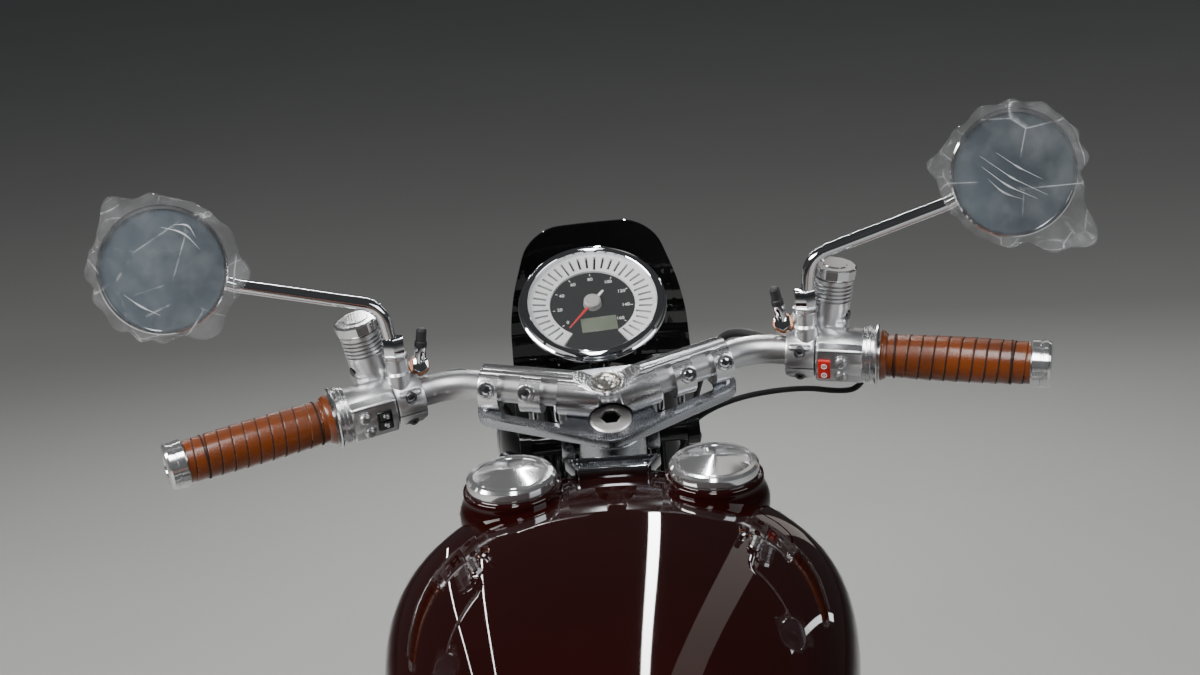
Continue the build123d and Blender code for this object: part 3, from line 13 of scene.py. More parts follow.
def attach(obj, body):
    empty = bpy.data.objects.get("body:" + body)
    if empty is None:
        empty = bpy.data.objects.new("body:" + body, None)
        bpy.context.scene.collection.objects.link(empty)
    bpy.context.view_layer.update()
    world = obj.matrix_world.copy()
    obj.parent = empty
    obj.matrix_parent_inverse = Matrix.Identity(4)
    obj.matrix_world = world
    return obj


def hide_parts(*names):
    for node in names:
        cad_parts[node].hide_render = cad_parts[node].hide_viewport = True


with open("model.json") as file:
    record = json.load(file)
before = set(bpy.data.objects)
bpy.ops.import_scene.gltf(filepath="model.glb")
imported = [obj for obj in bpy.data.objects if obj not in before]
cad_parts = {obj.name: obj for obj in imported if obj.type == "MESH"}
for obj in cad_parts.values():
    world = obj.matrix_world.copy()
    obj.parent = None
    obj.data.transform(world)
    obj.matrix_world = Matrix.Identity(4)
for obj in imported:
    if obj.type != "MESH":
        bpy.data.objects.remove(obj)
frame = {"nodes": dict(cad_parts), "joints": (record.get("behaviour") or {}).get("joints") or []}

log = logging.getLogger("cafe_racer")
Point = Sequence[float]
Socket = bpy.types.NodeSocket
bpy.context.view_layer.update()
MM = 0.001
RAKE_DEG = 24
STEER_TURN_DEG = 4.5


class Body(Enum):
    """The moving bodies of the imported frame."""

    ROOT = "root"
    STEERING = "steering"
    FRONT_WHEEL = "front_wheel"
    REAR_WHEEL = "rear_wheel"
    STAND = "stand"


class Side(Enum):
    """Left or right of the machine, with the sign of Y."""

    LEFT = 1
    RIGHT = -1


def joint(name: str) -> dict:
    """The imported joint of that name."""
    return next(j for j in frame["joints"] if j["name"] == name)


def at(x: float, y: float, z: float) -> Matrix:
    """A shift by that much."""
    return Matrix.Translation((x, y, z))


def turned(angle: float, x: float = 0.0, z: float = 0.0) -> Matrix:
    """A frame turned about Z, then moved out along its own X and up."""
    return Matrix.Rotation(angle, 4, "Z") @ at(x, 0, z)


def polar(radius: float, angle: float, height: float = 0.0) -> Vector:
    """The point at a radius, an angle and a height."""
    return Vector((radius * cos(angle), radius * sin(angle), height))


def circle(radius: float, step_deg: float) -> list[Point]:
    """The corners of a round outline."""
    return [polar(radius, radians(i * step_deg))[:2] for i in range(round(360 / step_deg))]


def linked(name: str, data: bpy.types.ID) -> bpy.types.Object:
    """A new object of the scene."""
    obj = bpy.data.objects.new(name, data)
    bpy.context.scene.collection.objects.link(obj)
    return obj


def evaluated(obj: bpy.types.Object) -> bpy.types.Mesh:
    """A new mesh of an object with its modifiers applied."""
    return bpy.data.meshes.new_from_object(obj.evaluated_get(bpy.context.evaluated_depsgraph_get()))


def level(x: float, y: float, z: float) -> Vector:
    """A point forward, left and up from the yoke's centre."""
    rake = radians(RAKE_DEG)
    return Vector((x * cos(rake) + z * sin(rake), y, -x * sin(rake) + z * cos(rake)))


def yoke_axes() -> Matrix:
    """The yoke's own axes, millimetres to metres, with the bars turned a little left."""
    head = joint("steering")
    up = Vector(head["axis"])
    forward = Vector((up.z, 0, -up.x))
    basis = Matrix((forward, Vector((0, 1, 0)), up)).transposed().to_4x4()
    turn = Matrix.Rotation(radians(STEER_TURN_DEG), 4, up)
    return Matrix.Translation(head["pos_m"]) @ turn @ basis @ Matrix.Scale(MM, 4)


def machine_axes() -> Matrix:
    """Forward, left and up from the yoke's centre, millimetres to metres."""
    return Matrix.Translation(joint("steering")["pos_m"]) @ Matrix.Scale(MM, 4)


YOKE_AXES = yoke_axes()
MACHINE_AXES = machine_axes()
LAYOUT_AXES = MACHINE_AXES @ at(-400, 0, -1000)


@dataclass(frozen=True)
class Mount:
    """What a piece moves with, and the axes that it is drawn on."""

    body: Body
    axes: Matrix


STEERED = Mount(Body.STEERING, YOKE_AXES)
HEAD = Mount(Body.ROOT, YOKE_AXES)
TANK = Mount(Body.ROOT, MACHINE_AXES)
CHASSIS = Mount(Body.ROOT, LAYOUT_AXES)


def facing(origin: Point, direction: Point, across: Point = (0, 1, 0)) -> Matrix:
    """A frame whose Z points along a direction.

    Args:
        origin: where the frame stands.
        direction: its Z.
        across: what its X leans towards.

    Returns:
        The frame as a matrix.
    """
    z = Vector(direction).normalized()
    x = Vector(across) - z * z.dot(Vector(across))
    if x.length < 1e-4:
        x = z.orthogonal()
    x.normalize()
    basis = Matrix((x, z.cross(x), z)).transposed().to_4x4()
    return Matrix.Translation(origin) @ basis


OUT = facing((0, 0, 0), (1, 0, 0))
UPWARDS = facing((0, 0, 0), (0, 1, 0), (0, 0, 1))


def rounded(points: Sequence[Point], radius: float, steps: int = 8) -> list[Vector]:
    """A line of straight runs with its corners turned into arcs.

    Args:
        points: the corners.
        radius: of each arc, or less where the runs are short.
        steps: points on each arc.

    Returns:
        The points of the line.
    """
    line = [Vector(p) for p in points]
    path = [line[0]]
    for a, b, c in zip(line, line[1:], line[2:]):
        u, v = (a - b).normalized(), (c - b).normalized()
        half = u.angle(v) / 2
        cut = min(radius / tan(half), (a - b).length * 0.48, (c - b).length * 0.48)
        start, end = b + u * cut, b + v * cut
        for i in range(steps + 1):
            t = i / steps
            path.append((start * (1 - t) + b * t) * (1 - t) + (b * (1 - t) + end * t) * t)
    path.append(line[-1])
    return path


class Form:
    """A mesh shaped with bmesh operators, in millimetres on the piece's own axes."""

    def __init__(self) -> None:
        """Starts empty."""
        self.bm = bmesh.new()

    def moved(self, place: Matrix, verts: Iterable[bmesh.types.BMVert] = ()) -> "Form":
        """Moves some of its vertices, or all."""
        bmesh.ops.transform(self.bm, matrix=place, verts=list(verts) or self.bm.verts[:])
        return self

    def on(self, side: Side) -> "Form":
        """Moves what was drawn for the left to a side."""
        bmesh.ops.scale(self.bm, vec=(1, side.value, 1), verts=self.bm.verts[:])
        return self

    def _bevel(self, edges: Iterable[bmesh.types.BMEdge], size: float, segments: int) -> None:
        """Rounds some edges."""
        bmesh.ops.bevel(self.bm, geom=list(edges), offset=size, segments=segments, profile=0.5, affect="EDGES",
            material=-1, clamp_overlap=True)

    def block(self, size: Point, place: Matrix = Matrix(), bevel: float = 0.0, segments: int = 2) -> "Form":
        """A box with rounded edges.

        Args:
            size: along its own axes.
            place: its centre's frame.
            bevel: the edges' size.
            segments: steps of each edge.

        Returns:
            This form.
        """
        verts = bmesh.ops.create_cube(self.bm, size=1)["verts"]
        self.moved(place @ Matrix.Diagonal((*size, 1)), verts)
        if bevel:
            self._bevel({e for v in verts for e in v.link_edges}, bevel, segments)
        return self

    def rod(self, radius: float, length: float, place: Matrix = Matrix(), end: float | None = None, sides: int = 32,
            bevel: float = 0.0) -> "Form":
        """A cylinder, cone or prism from its frame's origin along Z.

        Args:
            radius: at its start.
            length: along Z.
            place: the frame at its start.
            end: radius at its far end.
            sides: corners of its section.
            bevel: size of its end edges.

        Returns:
            This form.
        """
        end = radius if end is None else end
        made = bmesh.ops.create_cone(self.bm, cap_ends=True, segments=sides, radius1=radius, radius2=end,
            depth=length)["verts"]
        self.moved(place @ at(0, 0, length / 2), made)
        if bevel:
            faces = {f for v in made for f in v.link_faces if len(f.verts) > 4 or sides <= 4}
            self._bevel({e for f in faces for e in f.edges}, bevel, 2)
        return self

    def lathe(self, outline: Sequence[Point], place: Matrix = Matrix(), steps: int = 48,
            closed: bool = False) -> "Form":
        """A turned piece from (radius, height) points about Z.

        Args:
            outline: the profile.
            place: the frame that it stands in.
            steps: faces round it.
            closed: joins the profile's last point to its first, for a ring.

        Returns:
            This form.
        """
        before = set(self.bm.verts)
        verts = [self.bm.verts.new((r, 0, h)) for r, h in outline]
        pairs = list(zip(verts, verts[1:])) + ([(verts[-1], verts[0])] if closed else [])
        edges = [self.bm.edges.new(p) for p in pairs]
        bmesh.ops.spin(self.bm, geom=verts + edges, cent=(0, 0, 0), axis=(0, 0, 1), angle=tau, steps=steps,
            use_merge=True, use_normal_flip=False, use_duplicate=False)
        made = [v for v in self.bm.verts if v not in before]
        bmesh.ops.remove_doubles(self.bm, verts=made, dist=1e-4)
        return self.moved(place, [v for v in self.bm.verts if v not in before])

    def prism(self, outline: Sequence[Point], low: float, high: float, place: Matrix = Matrix(), corner: float = 0.0,
            edge: float = 0.0, segments: int = 4) -> "Form":
        """A plate cut to an outline.

        Args:
            outline: (x, y) corners.
            low: its lower face.
            high: its upper face.
            place: the frame that it stands in.
            corner: radius of its upright corners.
            edge: bevel round both faces.
            segments: steps of each corner.

        Returns:
            This form.
        """
        before = set(self.bm.verts)
        base = self.bm.faces.new([self.bm.verts.new((x, y, low)) for x, y in outline])
        top = bmesh.ops.extrude_face_region(self.bm, geom=[base])["geom"]
        lifted = [g for g in top if isinstance(g, bmesh.types.BMVert)]
        bmesh.ops.translate(self.bm, vec=(0, 0, high - low), verts=lifted)
        self.bm.normal_update()

        def mine() -> list[bmesh.types.BMVert]:
            """The plate's vertices."""
            return [v for v in self.bm.verts if v not in before]

        if corner:
            uprights = {e for v in mine() for e in v.link_edges
                if abs(e.verts[0].co.z - e.verts[1].co.z) > (high - low) * 0.9}
            self._bevel(uprights, corner, segments)
        if edge:
            rims = {e for v in mine() for e in v.link_edges if abs(e.verts[0].co.z - e.verts[1].co.z) < 1e-5
                and any(abs(f.normal.z) < 0.5 for f in e.link_faces)
                and any(abs(f.normal.z) > 0.5 for f in e.link_faces)}
            self._bevel(rims, edge, 2)
        return self.moved(place, mine())

    def sweep(self, path: Sequence[Vector], radius: float | Callable[[float], float], sides: int = 16,
            flat: float = 1.0) -> "Form":
        """A round tube along a path.

        Args:
            path: the points of its centre line.
            radius: its radius, or a function of the share of its length.
            sides: corners of its section.
            flat: squeeze of the section across its own Y.

        Returns:
            This form.
        """
        size = radius if callable(radius) else (lambda share: radius)
        ring = bmesh.ops.create_circle(self.bm, cap_ends=False, segments=sides, radius=1)["verts"]
        edges = list({e for v in ring for e in v.link_edges})
        directions = [(b - a).normalized() for a, b in zip(path, path[1:])]
        directions.append(directions[-1])
        side = directions[0].orthogonal().normalized()
        now = Matrix()
        first = last = None
        total = len(path) - 1
        for i, (point, ahead) in enumerate(zip(path, directions)):
            tangent = (ahead + directions[max(i - 1, 0)]).normalized()
            side = (side - tangent * tangent.dot(side)).normalized()
            r = size(i / total)
            want = facing(point, tangent, side) @ Matrix.Diagonal((r, r * flat, 1, 1))
            if i:
                made = bmesh.ops.extrude_edge_only(self.bm, edges=edges)["geom"]
                ring = [g for g in made if isinstance(g, bmesh.types.BMVert)]
                edges = [g for g in made if isinstance(g, bmesh.types.BMEdge)]
                edges = [e for e in edges if all(v in ring for v in e.verts)]
            self.moved(want @ now.inverted(), ring)
            now = want
            first = list(ring) if first is None else first
            last = list(ring)
        for end in (first, last):
            rim = [e for v in end for e in v.link_edges if e.is_boundary and all(w in end for w in e.verts)]
            bmesh.ops.contextual_create(self.bm, geom=list(set(rim)))
        return self

    def coil(self, place: Matrix, radius: float, wire: float, low: float, high: float, turns: float) -> "Form":
        """A coil spring about its frame's Z, with closed ends.

        Args:
            place: the frame that it stands in.
            radius: of the wire's centre line.
            wire: radius of the wire.
            low: height of its first turn.
            high: height of its last turn.
            turns: how many turns it has.

        Returns:
            This form.
        """
        steps = int(turns * 22)
        path = []
        for i in range(steps + 1):
            share, angle = i / steps, tau * turns * i / steps
            rise = min(1, max(0, (share * turns - 0.5) / (turns - 1)))
            path.append(place @ Vector((radius * cos(angle), radius * sin(angle),
                low + wire + (high - low - 2 * wire) * rise)))
        return self.sweep(path, wire, sides=10)

    def loft(self, rings: Sequence[Sequence[Point]]) -> "Form":
        """Bridges closed rings of the same count into a closed skin."""
        previous = None
        for i, ring in enumerate(rings):
            verts = bmesh.ops.create_circle(self.bm, cap_ends=i in (0, len(rings) - 1), segments=len(ring),
                radius=1)["verts"]
            for vert, point in zip(verts, ring):
                vert.co = point
            edges = [e for e in {e for v in verts for e in v.link_edges} if all(v in verts for v in e.verts)]
            if previous:
                bmesh.ops.bridge_loops(self.bm, edges=previous + edges)
            previous = edges
        return self

    def bolts(self, spots: Iterable[Matrix], radius: float = 5.0, height: float = 5.0) -> None:
        """Socket screws with a bevelled head, each on its own frame."""
        for spot in spots:
            self.lathe([(0, height * 0.35), (radius * 0.45, height * 0.35), (radius * 0.5, height),
                (radius * 0.86, height), (radius, height * 0.8), (radius, -1), (0, -1)], spot, steps=16)

    def carve(self, cutter: "Form", keep: bool = False) -> "Form":
        """Takes another form away from this one.

        Args:
            cutter: the other form.
            keep: leaves what lies inside the cutter instead.

        Returns:
            This form.
        """
        pieces = []
        for form in (self, cutter):
            bmesh.ops.recalc_face_normals(form.bm, faces=form.bm.faces[:])
            mesh = bpy.data.meshes.new("cut")
            form.bm.to_mesh(mesh)
            pieces.append(linked("cut", mesh))
        modifier = pieces[0].modifiers.new("cut", "BOOLEAN")
        modifier.operation = "INTERSECT" if keep else "DIFFERENCE"
        modifier.solver, modifier.object, modifier.use_self = "EXACT", pieces[1], True
        result = evaluated(pieces[0])
        self.bm.clear()
        self.bm.from_mesh(result)
        for obj in pieces:
            bpy.data.objects.remove(obj)
        return self

    def mirrored(self) -> "Form":
        """Adds the same shapes on the machine's other side."""
        made = bmesh.ops.duplicate(self.bm, geom=self.bm.verts[:] + self.bm.edges[:] + self.bm.faces[:])["geom"]
        verts = [g for g in made if isinstance(g, bmesh.types.BMVert)]
        faces = [g for g in made if isinstance(g, bmesh.types.BMFace)]
        bmesh.ops.scale(self.bm, vec=(1, -1, 1), verts=verts)
        bmesh.ops.reverse_faces(self.bm, faces=faces)
        return self

    def piece(self, name: str, finish: "Finish", stands_for: str = "", mount: Mount = STEERED, slot: str = "",
            sharp_deg: float = 32.0) -> bpy.types.Object:
        """Turns the form into a piece of the scene.

        Args:
            name: of the piece.
            finish: what its surface is.
            stands_for: the CAD node that it replaces.
            mount: what holds it.
            slot: the record's material slot, if not its finish's own; not used.
            sharp_deg: edges above this angle stay sharp.

        Returns:
            The object made.
        """
        self.moved(mount.axes)
        bmesh.ops.remove_doubles(self.bm, verts=self.bm.verts[:], dist=1e-7)
        bmesh.ops.recalc_face_normals(self.bm, faces=self.bm.faces[:])
        mesh = bpy.data.meshes.new(name)
        self.bm.to_mesh(mesh)
        self.bm.free()
        mesh.shade_smooth()
        mesh.set_sharp_from_angle(angle=radians(sharp_deg))
        mesh.materials.append(finish.material())
        obj = linked(name, mesh)
        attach(obj, mount.body.value)
        if stands_for:
            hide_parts(stands_for)
        return obj


class Shader:
    """A material's node tree with short calls."""

    def __init__(self, name: str) -> None:
        """Starts a material with one Principled shader."""
        self.material = bpy.data.materials.new(name)
        self.material.use_nodes = True
        self.nodes = self.material.node_tree.nodes
        self.links = self.material.node_tree.links
        self.surface = self.nodes["Principled BSDF"]
        self.place = self.node("TexCoord").outputs["Object"]

    def fill(self, node: bpy.types.Node, values: dict[str, Socket | float | Point]) -> bpy.types.Node:
        """Sets or links a node's sockets; an underscore stands for a space."""
        for name, value in values.items():
            socket = node.inputs[name.replace("_", " ")]
            if isinstance(value, Socket):
                self.links.new(value, socket)
            else:
                socket.default_value = (*value, 1) if socket.type == "RGBA" else value
        return node

    def set(self, **values: Socket | float | Point) -> None:
        """Sets or links the surface's own sockets."""
        self.fill(self.surface, values)

    def node(self, kind: str, **values: Socket | float | Point) -> bpy.types.Node:
        """A new node with its sockets set or linked."""
        return self.fill(self.nodes.new(f"ShaderNode{kind}"), values)

    def mapped(self, scale: Point = (1, 1, 1), shift: Point = (0, 0, 0)) -> Socket:
        """The object's coordinates, moved and scaled."""
        return self.node("Mapping", Vector=self.place, Scale=scale, Location=shift).outputs["Vector"]

    def noise(self, scale: float, detail: float = 3.0, rough: float = 0.5, vector: Socket | None = None) -> Socket:
        """Cloudy noise from 0 to 1."""
        node = self.node("TexNoise", Vector=vector or self.place, Scale=scale, Detail=detail, Roughness=rough)
        return node.outputs["Fac"]

    def cells(self, scale: float, feature: str = "F1") -> Socket:
        """Distance in a cell pattern."""
        node = self.node("TexVoronoi", Vector=self.place, Scale=scale)
        node.feature = feature
        return node.outputs["Distance"]

    def sum(self, kind: str, a: Socket | float, b: Socket | float = 0.0, clamp: bool = False) -> Socket:
        """One sum of two values."""
        node = self.node("Math")
        node.operation, node.use_clamp = kind, clamp
        for socket, value in zip(node.inputs, (a, b)):
            if isinstance(value, Socket):
                self.links.new(value, socket)
            else:
                socket.default_value = value
        return node.outputs[0]

    def ramp(self, value: Socket, *stops: tuple[float, Point]) -> Socket:
        """Colours by value, from (position, colour) stops."""
        node = self.node("ValToRGB", Fac=value)
        while len(node.color_ramp.elements) < len(stops):
            node.color_ramp.elements.new(0.5)
        for element, (position, colour) in zip(node.color_ramp.elements, stops):
            element.position, element.color = position, (*colour, 1)
        return node.outputs["Color"]

    def between(self, value: Socket, low: float, high: float, start: float = 0.0, end: float = 1.0) -> Socket:
        """A value carried from one range to another."""
        node = self.node("MapRange", Value=value, From_Min=start, From_Max=end, To_Min=low, To_Max=high)
        return node.outputs["Result"]

    def bump(self, height: Socket, depth: float, strength: float = 1.0) -> None:
        """Adds fine relief, in metres, over any relief linked before."""
        node = self.node("Bump", Height=height, Distance=depth, Strength=strength)
        normal = self.surface.inputs["Normal"]
        if normal.is_linked:
            self.links.new(normal.links[0].from_socket, node.inputs["Normal"])
        self.links.new(node.outputs["Normal"], normal)


@dataclass(frozen=True)
class Finish:
    """A surface finish; each kind says how its shader is wired."""

    name: str
    tint: Point = (0.5, 0.5, 0.5)
    rough: float = 0.4
    slot: str = field(default="polished_aluminium", kw_only=True)

    def shade(self, factor: float) -> Point:
        """The tint, darker or lighter."""
        return tuple(min(1, c * factor) for c in self.tint)

    def wire(self, shader: Shader) -> None:
        """Wires the shader's nodes."""
        shader.set(Base_Color=self.tint, Roughness=self.rough)

    def material(self) -> bpy.types.Material:
        """The material, made once."""
        found = bpy.data.materials.get(self.name)
        if found:
            return found
        shader = Shader(self.name)
        self.wire(shader)
        return shader.material


@dataclass(frozen=True)
class LacquerFinish(Finish):
    """Paint under clear lacquer, with a slight waviness and dust."""

    coat_rough: float = 0.02
    wave: float = 0.0001

    def wire(self, shader: Shader) -> None:
        """Deep colour that drifts a little, and lacquer over it."""
        shader.set(Coat_Weight=1, Coat_Roughness=self.coat_rough, Specular_IOR_Level=0)
        drift = shader.noise(9, 2)
        shader.set(Base_Color=shader.ramp(drift, (0.3, self.shade(0.75)), (0.7, self.tint)))
        dust = shader.noise(420, 4, 0.7)
        shader.set(Roughness=shader.between(dust, self.rough, self.rough + 0.12, 0.55, 0.75))
        shader.bump(shader.noise(55, 1), self.wave)


@dataclass(frozen=True)
class MetalFinish(Finish):
    """Bare or plated metal with fine tool marks and smudges."""

    marks: float = 0.00001
    grain: Point = (400.0, 400.0, 400.0)
    smudge: float = 0.10

    def wire(self, shader: Shader) -> None:
        """Metal whose shine varies with smudges and stretched marks."""
        shader.set(Metallic=1)
        wear = shader.noise(16, 5, 0.65)
        shader.set(Base_Color=shader.ramp(wear, (0.35, self.shade(1.03)), (0.62, self.tint), (0.8, self.shade(0.93))))
        lines = shader.noise(1, 2, vector=shader.mapped(self.grain))
        mixed = shader.sum("ADD", shader.sum("MULTIPLY", wear, 0.6), shader.sum("MULTIPLY", lines, 0.4))
        shader.set(Roughness=shader.between(mixed, self.rough, self.rough + self.smudge, 0.35, 0.65))
        if self.marks:
            shader.bump(lines, self.marks)


@dataclass(frozen=True)
class MirrorFinish(Finish):
    """Silvered glass with a faint haze and specks of dust."""

    def wire(self, shader: Shader) -> None:
        """An even mirror, cloudy in soft patches."""
        shader.set(Metallic=0.3, Coat_Weight=1, Coat_Roughness=0.03)
        haze = shader.noise(11, 1)
        shader.set(Base_Color=shader.ramp(haze, (0.38, self.shade(0.62)), (0.66, self.tint)))
        specks = shader.noise(900, 2)
        shader.set(Roughness=shader.between(specks, self.rough, self.rough + 0.22, 0.62, 0.75))


@dataclass(frozen=True)
class TurnedFinish(Finish):
    """Metal faced on a lathe, with rings about an axis."""

    centre: Point = (0.0, 0.0, 0.0)
    axis: Point = (0.0, 0.0, 1.0)
    pitch: float = 0.0007
    depth: float = 0.00002

    def wire(self, shader: Shader) -> None:
        """Rings by distance from the axis."""
        shader.set(Metallic=1, Base_Color=self.tint)
        turn = Vector((0, 0, 1)).rotation_difference(Vector(self.axis)).inverted().to_euler()
        moved = shader.mapped(shift=tuple(-c for c in self.centre))
        place = shader.node("Mapping", Vector=moved, Rotation=turn).outputs["Vector"]
        wave = shader.node("TexWave", Vector=place, Scale=1 / (self.pitch * 20), Distortion=0.6, Detail=2)
        wave.wave_type, wave.rings_direction = "RINGS", "Z"
        shader.bump(wave.outputs["Fac"], self.depth)
        smudge = shader.noise(30, 4)
        shader.set(Roughness=shader.between(smudge, self.rough, self.rough + 0.1, 0.35, 0.7))


@dataclass(frozen=True)
class CastFinish(Finish):
    """Sand-cast or blasted aluminium."""

    grit: float = 0.00008

    def wire(self, shader: Shader) -> None:
        """A pebbled surface with grime in its hollows."""
        shader.set(Metallic=1)
        pebbles = shader.noise(900, 3)
        grime = shader.noise(22, 6, 0.7)
        shader.set(Base_Color=shader.ramp(grime, (0.35, self.shade(0.55)), (0.6, self.tint)),
            Roughness=shader.between(grime, self.rough + 0.15, self.rough, 0.35, 0.65))
        shader.bump(pebbles, self.grit, 0.6)


@dataclass(frozen=True)
class LeatherFinish(Finish):
    """Waxed hide with grain, pores and darker handled patches."""

    grain: float = 0.00016
    scale: float = 1.0
    wax: float = 0.08

    def wire(self, shader: Shader) -> None:
        """Creased cells, pores and a wax sheen."""
        cells = shader.cells(900 * self.scale)
        creases = shader.noise(170 * self.scale, 6, 0.7)
        patches = shader.noise(26, 4, 0.6)
        shader.set(Base_Color=shader.ramp(patches, (0.3, self.shade(0.62)), (0.5, self.tint),
            (0.75, self.shade(1.25))), Coat_Weight=self.wax, Coat_Roughness=0.2, Specular_IOR_Level=0.35,
            Roughness=shader.between(patches, self.rough + 0.12, self.rough - 0.08, 0.3, 0.7))
        shader.bump(shader.sum("ADD", cells, creases), self.grain, 0.7)


@dataclass(frozen=True)
class RubberFinish(Finish):
    """Rubber or moulded plastic with a fine texture."""

    relief: float = 0.00004
    scale: float = 700.0
    shine: float = 0.5

    def wire(self, shader: Shader) -> None:
        """Fine texture and a little dust."""
        dust = shader.noise(14, 6, 0.7)
        pale = tuple(min(1, c * 1.5 + 0.008 * self.shine) for c in self.tint)
        shader.set(Specular_IOR_Level=self.shine, Base_Color=shader.ramp(dust, (0.45, self.tint), (0.85, pale)),
            Roughness=shader.between(dust, self.rough, min(1, self.rough + 0.15), 0.4, 0.8))
        shader.bump(shader.noise(self.scale, 3), self.relief)


@dataclass(frozen=True)
class ClearFinish(Finish):
    """Glass or clear film, thin enough to see straight through."""

    cover: float = 0.1
    crinkle: float = 0.0

    def wire(self, shader: Shader) -> None:
        """A thin glossy layer; film also has crinkles and white creases."""
        shader.set(Base_Color=self.tint, Roughness=self.rough, Coat_Weight=1, Coat_Roughness=0.02)
        if not self.crinkle:
            shader.set(Alpha=self.cover)
            return
        folds = shader.noise(34, 5, 0.6)
        creases = shader.cells(23, "DISTANCE_TO_EDGE")
        shader.bump(shader.sum("ADD", folds, shader.sum("MULTIPLY", creases, 2)), self.crinkle)
        veil = shader.between(folds, self.cover * 0.4, self.cover * 2, 0.42, 0.78)
        line = shader.sum("MULTIPLY", shader.between(creases, 0.4, 0, 0, 0.016),
            shader.between(folds, 0, 1, 0.45, 0.6))
        shader.links.new(shader.sum("ADD", veil, line, clamp=True), shader.surface.inputs["Alpha"])


@dataclass(frozen=True)
class GlowFinish(Finish):
    """A display or lamp face with a faint light of its own."""

    glow: float = 0.2

    def wire(self, shader: Shader) -> None:
        """A nearly even face."""
        shader.set(Roughness=self.rough, Emission_Color=self.tint, Emission_Strength=self.glow,
            Base_Color=shader.ramp(shader.noise(60), (0.3, self.shade(0.85)), (0.7, self.tint)))


OXBLOOD = LacquerFinish("oxblood_lacquer", (0.015, 0.0020, 0.0016), 0.35, slot="tank_paint")
BLACK_LACQUER = LacquerFinish("black_lacquer", (0.006, 0.006, 0.0065), 0.2, slot="black_gloss")
FRAME_BLACK = LacquerFinish("frame_black", (0.012, 0.012, 0.013), 0.35, 0.12, 0.00004)
POLISHED = MetalFinish("polished_aluminium", (0.78, 0.78, 0.79), 0.06, 0, (60, 900, 900), 0.10)
SATIN = MetalFinish("satin_aluminium", (0.68, 0.685, 0.695), 0.30, 0.000006, (90, 1500, 1500), 0.07)
# A darker, bluer copy of the satin finish: painted shade, for the yoke plate and the bearing cover under it.
SHADED_SATIN = MetalFinish("anodised_aluminium", (0.40, 0.415, 0.44), 0.24, 0.000006, (90, 1500, 1500), 0.06)
MACHINED = MetalFinish("machined_aluminium", (0.74, 0.74, 0.75), 0.22, 0.000006, (1600, 120, 1600), 0.07)
CHROME = MetalFinish("chrome", (0.74, 0.75, 0.77), 0.03, 0, (50, 50, 50), 0.06, slot="polished_steel")
# A darker copy of chrome: painted shade, for the polished nose plate.
SHADED_CHROME = MetalFinish("dark_chrome", (0.42, 0.43, 0.45), 0.05, 0, (50, 50, 50), 0.06)
STEEL = MetalFinish("brushed_steel", (0.56, 0.56, 0.57), 0.28, 0.00001, (1200, 100, 1200), 0.12,
    slot="polished_steel")
DARK_STEEL = MetalFinish("dark_steel", (0.20, 0.20, 0.21), 0.32, 0.00001, (800, 800, 800), 0.15,
    slot="polished_steel")
NICKEL = MetalFinish("antique_nickel", (0.60, 0.57, 0.53), 0.20, 0.000008, (420, 420, 420), 0.15,
    slot="polished_steel")
COPPER = MetalFinish("copper", (0.72, 0.33, 0.19), 0.25, 0, (500, 500, 500), 0.1, slot="polished_steel")
STAINLESS = MetalFinish("stainless_pipe", (0.66, 0.63, 0.60), 0.12, 0, (80, 80, 80), 0.10)
ENGINE_CAST = CastFinish("engine_casting", (0.44, 0.44, 0.45), 0.42, slot="engine_metal")
GREY_CAST = CastFinish("grey_casting", (0.34, 0.34, 0.34), 0.5, slot="engine_metal")
COGNAC = LeatherFinish("cognac_leather", (0.15, 0.034, 0.006), 0.30, wax=0.6, slot="leather")
SADDLE = LeatherFinish("saddle_leather", (0.135, 0.036, 0.010), 0.52, 0.00022, 0.6, slot="leather")
RUBBER = RubberFinish("black_rubber", (0.012, 0.012, 0.013), 0.55, slot="black_plastic")
TYRE_RUBBER = RubberFinish("tyre_rubber", (0.016, 0.016, 0.017), 0.7, 0.00008, 500, slot="tyre")
GLOSS_BLACK = RubberFinish("gloss_black_plastic", (0.008, 0.008, 0.009), 0.10, 0.000004, 200, slot="black_gloss")
DIAL_BLACK = RubberFinish("dial_black", (0.002, 0.002, 0.0023), 0.8, 0.00001, 900, 0.02, slot="black_plastic")
SCALE_SILVER = RubberFinish("scale_silver", (0.66, 0.66, 0.67), 0.3, 0.00001, 1500, 0.8)
RED = RubberFinish("red_plastic", (0.50, 0.012, 0.008), 0.28, 0.00001, 600, slot="tail_red")
WHITE = RubberFinish("white_print", (0.75, 0.75, 0.74), 0.5, 0, 300, slot="black_plastic")
GREY_PLASTIC = RubberFinish("grey_plastic", (0.33, 0.32, 0.31), 0.45, 0.00001, 800, slot="black_plastic")
DISPLAY = GlowFinish("display_green", (0.12, 0.14, 0.10), 0.25, 0.05, slot="black_plastic")
GAUGE_GLASS = ClearFinish("gauge_glass", (0.5, 0.52, 0.53), 0.02, 0.04, slot="lamp_glass")
LENS_GLASS = ClearFinish("lamp_glass", (0.35, 0.38, 0.41), 0.04, 0.07, slot="lamp_glass")
FILM = ClearFinish("crinkled_film", (0.80, 0.82, 0.84), 0.12, 0.075, 0.0016, slot="lamp_glass")
FOLD = ClearFinish("film_fold", (0.82, 0.84, 0.87), 0.15, 0.5, slot="lamp_glass")
SILVERED = MirrorFinish("silvered_glass", (0.115, 0.145, 0.17), 0.12, slot="mirror_glass")
TAIL_RED = ClearFinish("tail_lens", (0.5, 0.01, 0.01), 0.1, 0.85, slot="tail_red")
BLACK_CAST = CastFinish("black_casting", (0.02, 0.02, 0.021), 0.4, slot="black_plastic")
DISC_STEEL = TurnedFinish("ground_disc", (0.52, 0.52, 0.53), 0.24, pitch=0.0011, slot="disc_steel")
DARK_HIDE = LeatherFinish("dark_hide", (0.016, 0.005, 0.003), 0.7, slot="leather")
THREAD = RubberFinish("waxed_thread", (0.62, 0.50, 0.34), 0.7, 0.00003, 2000, slot="leather")


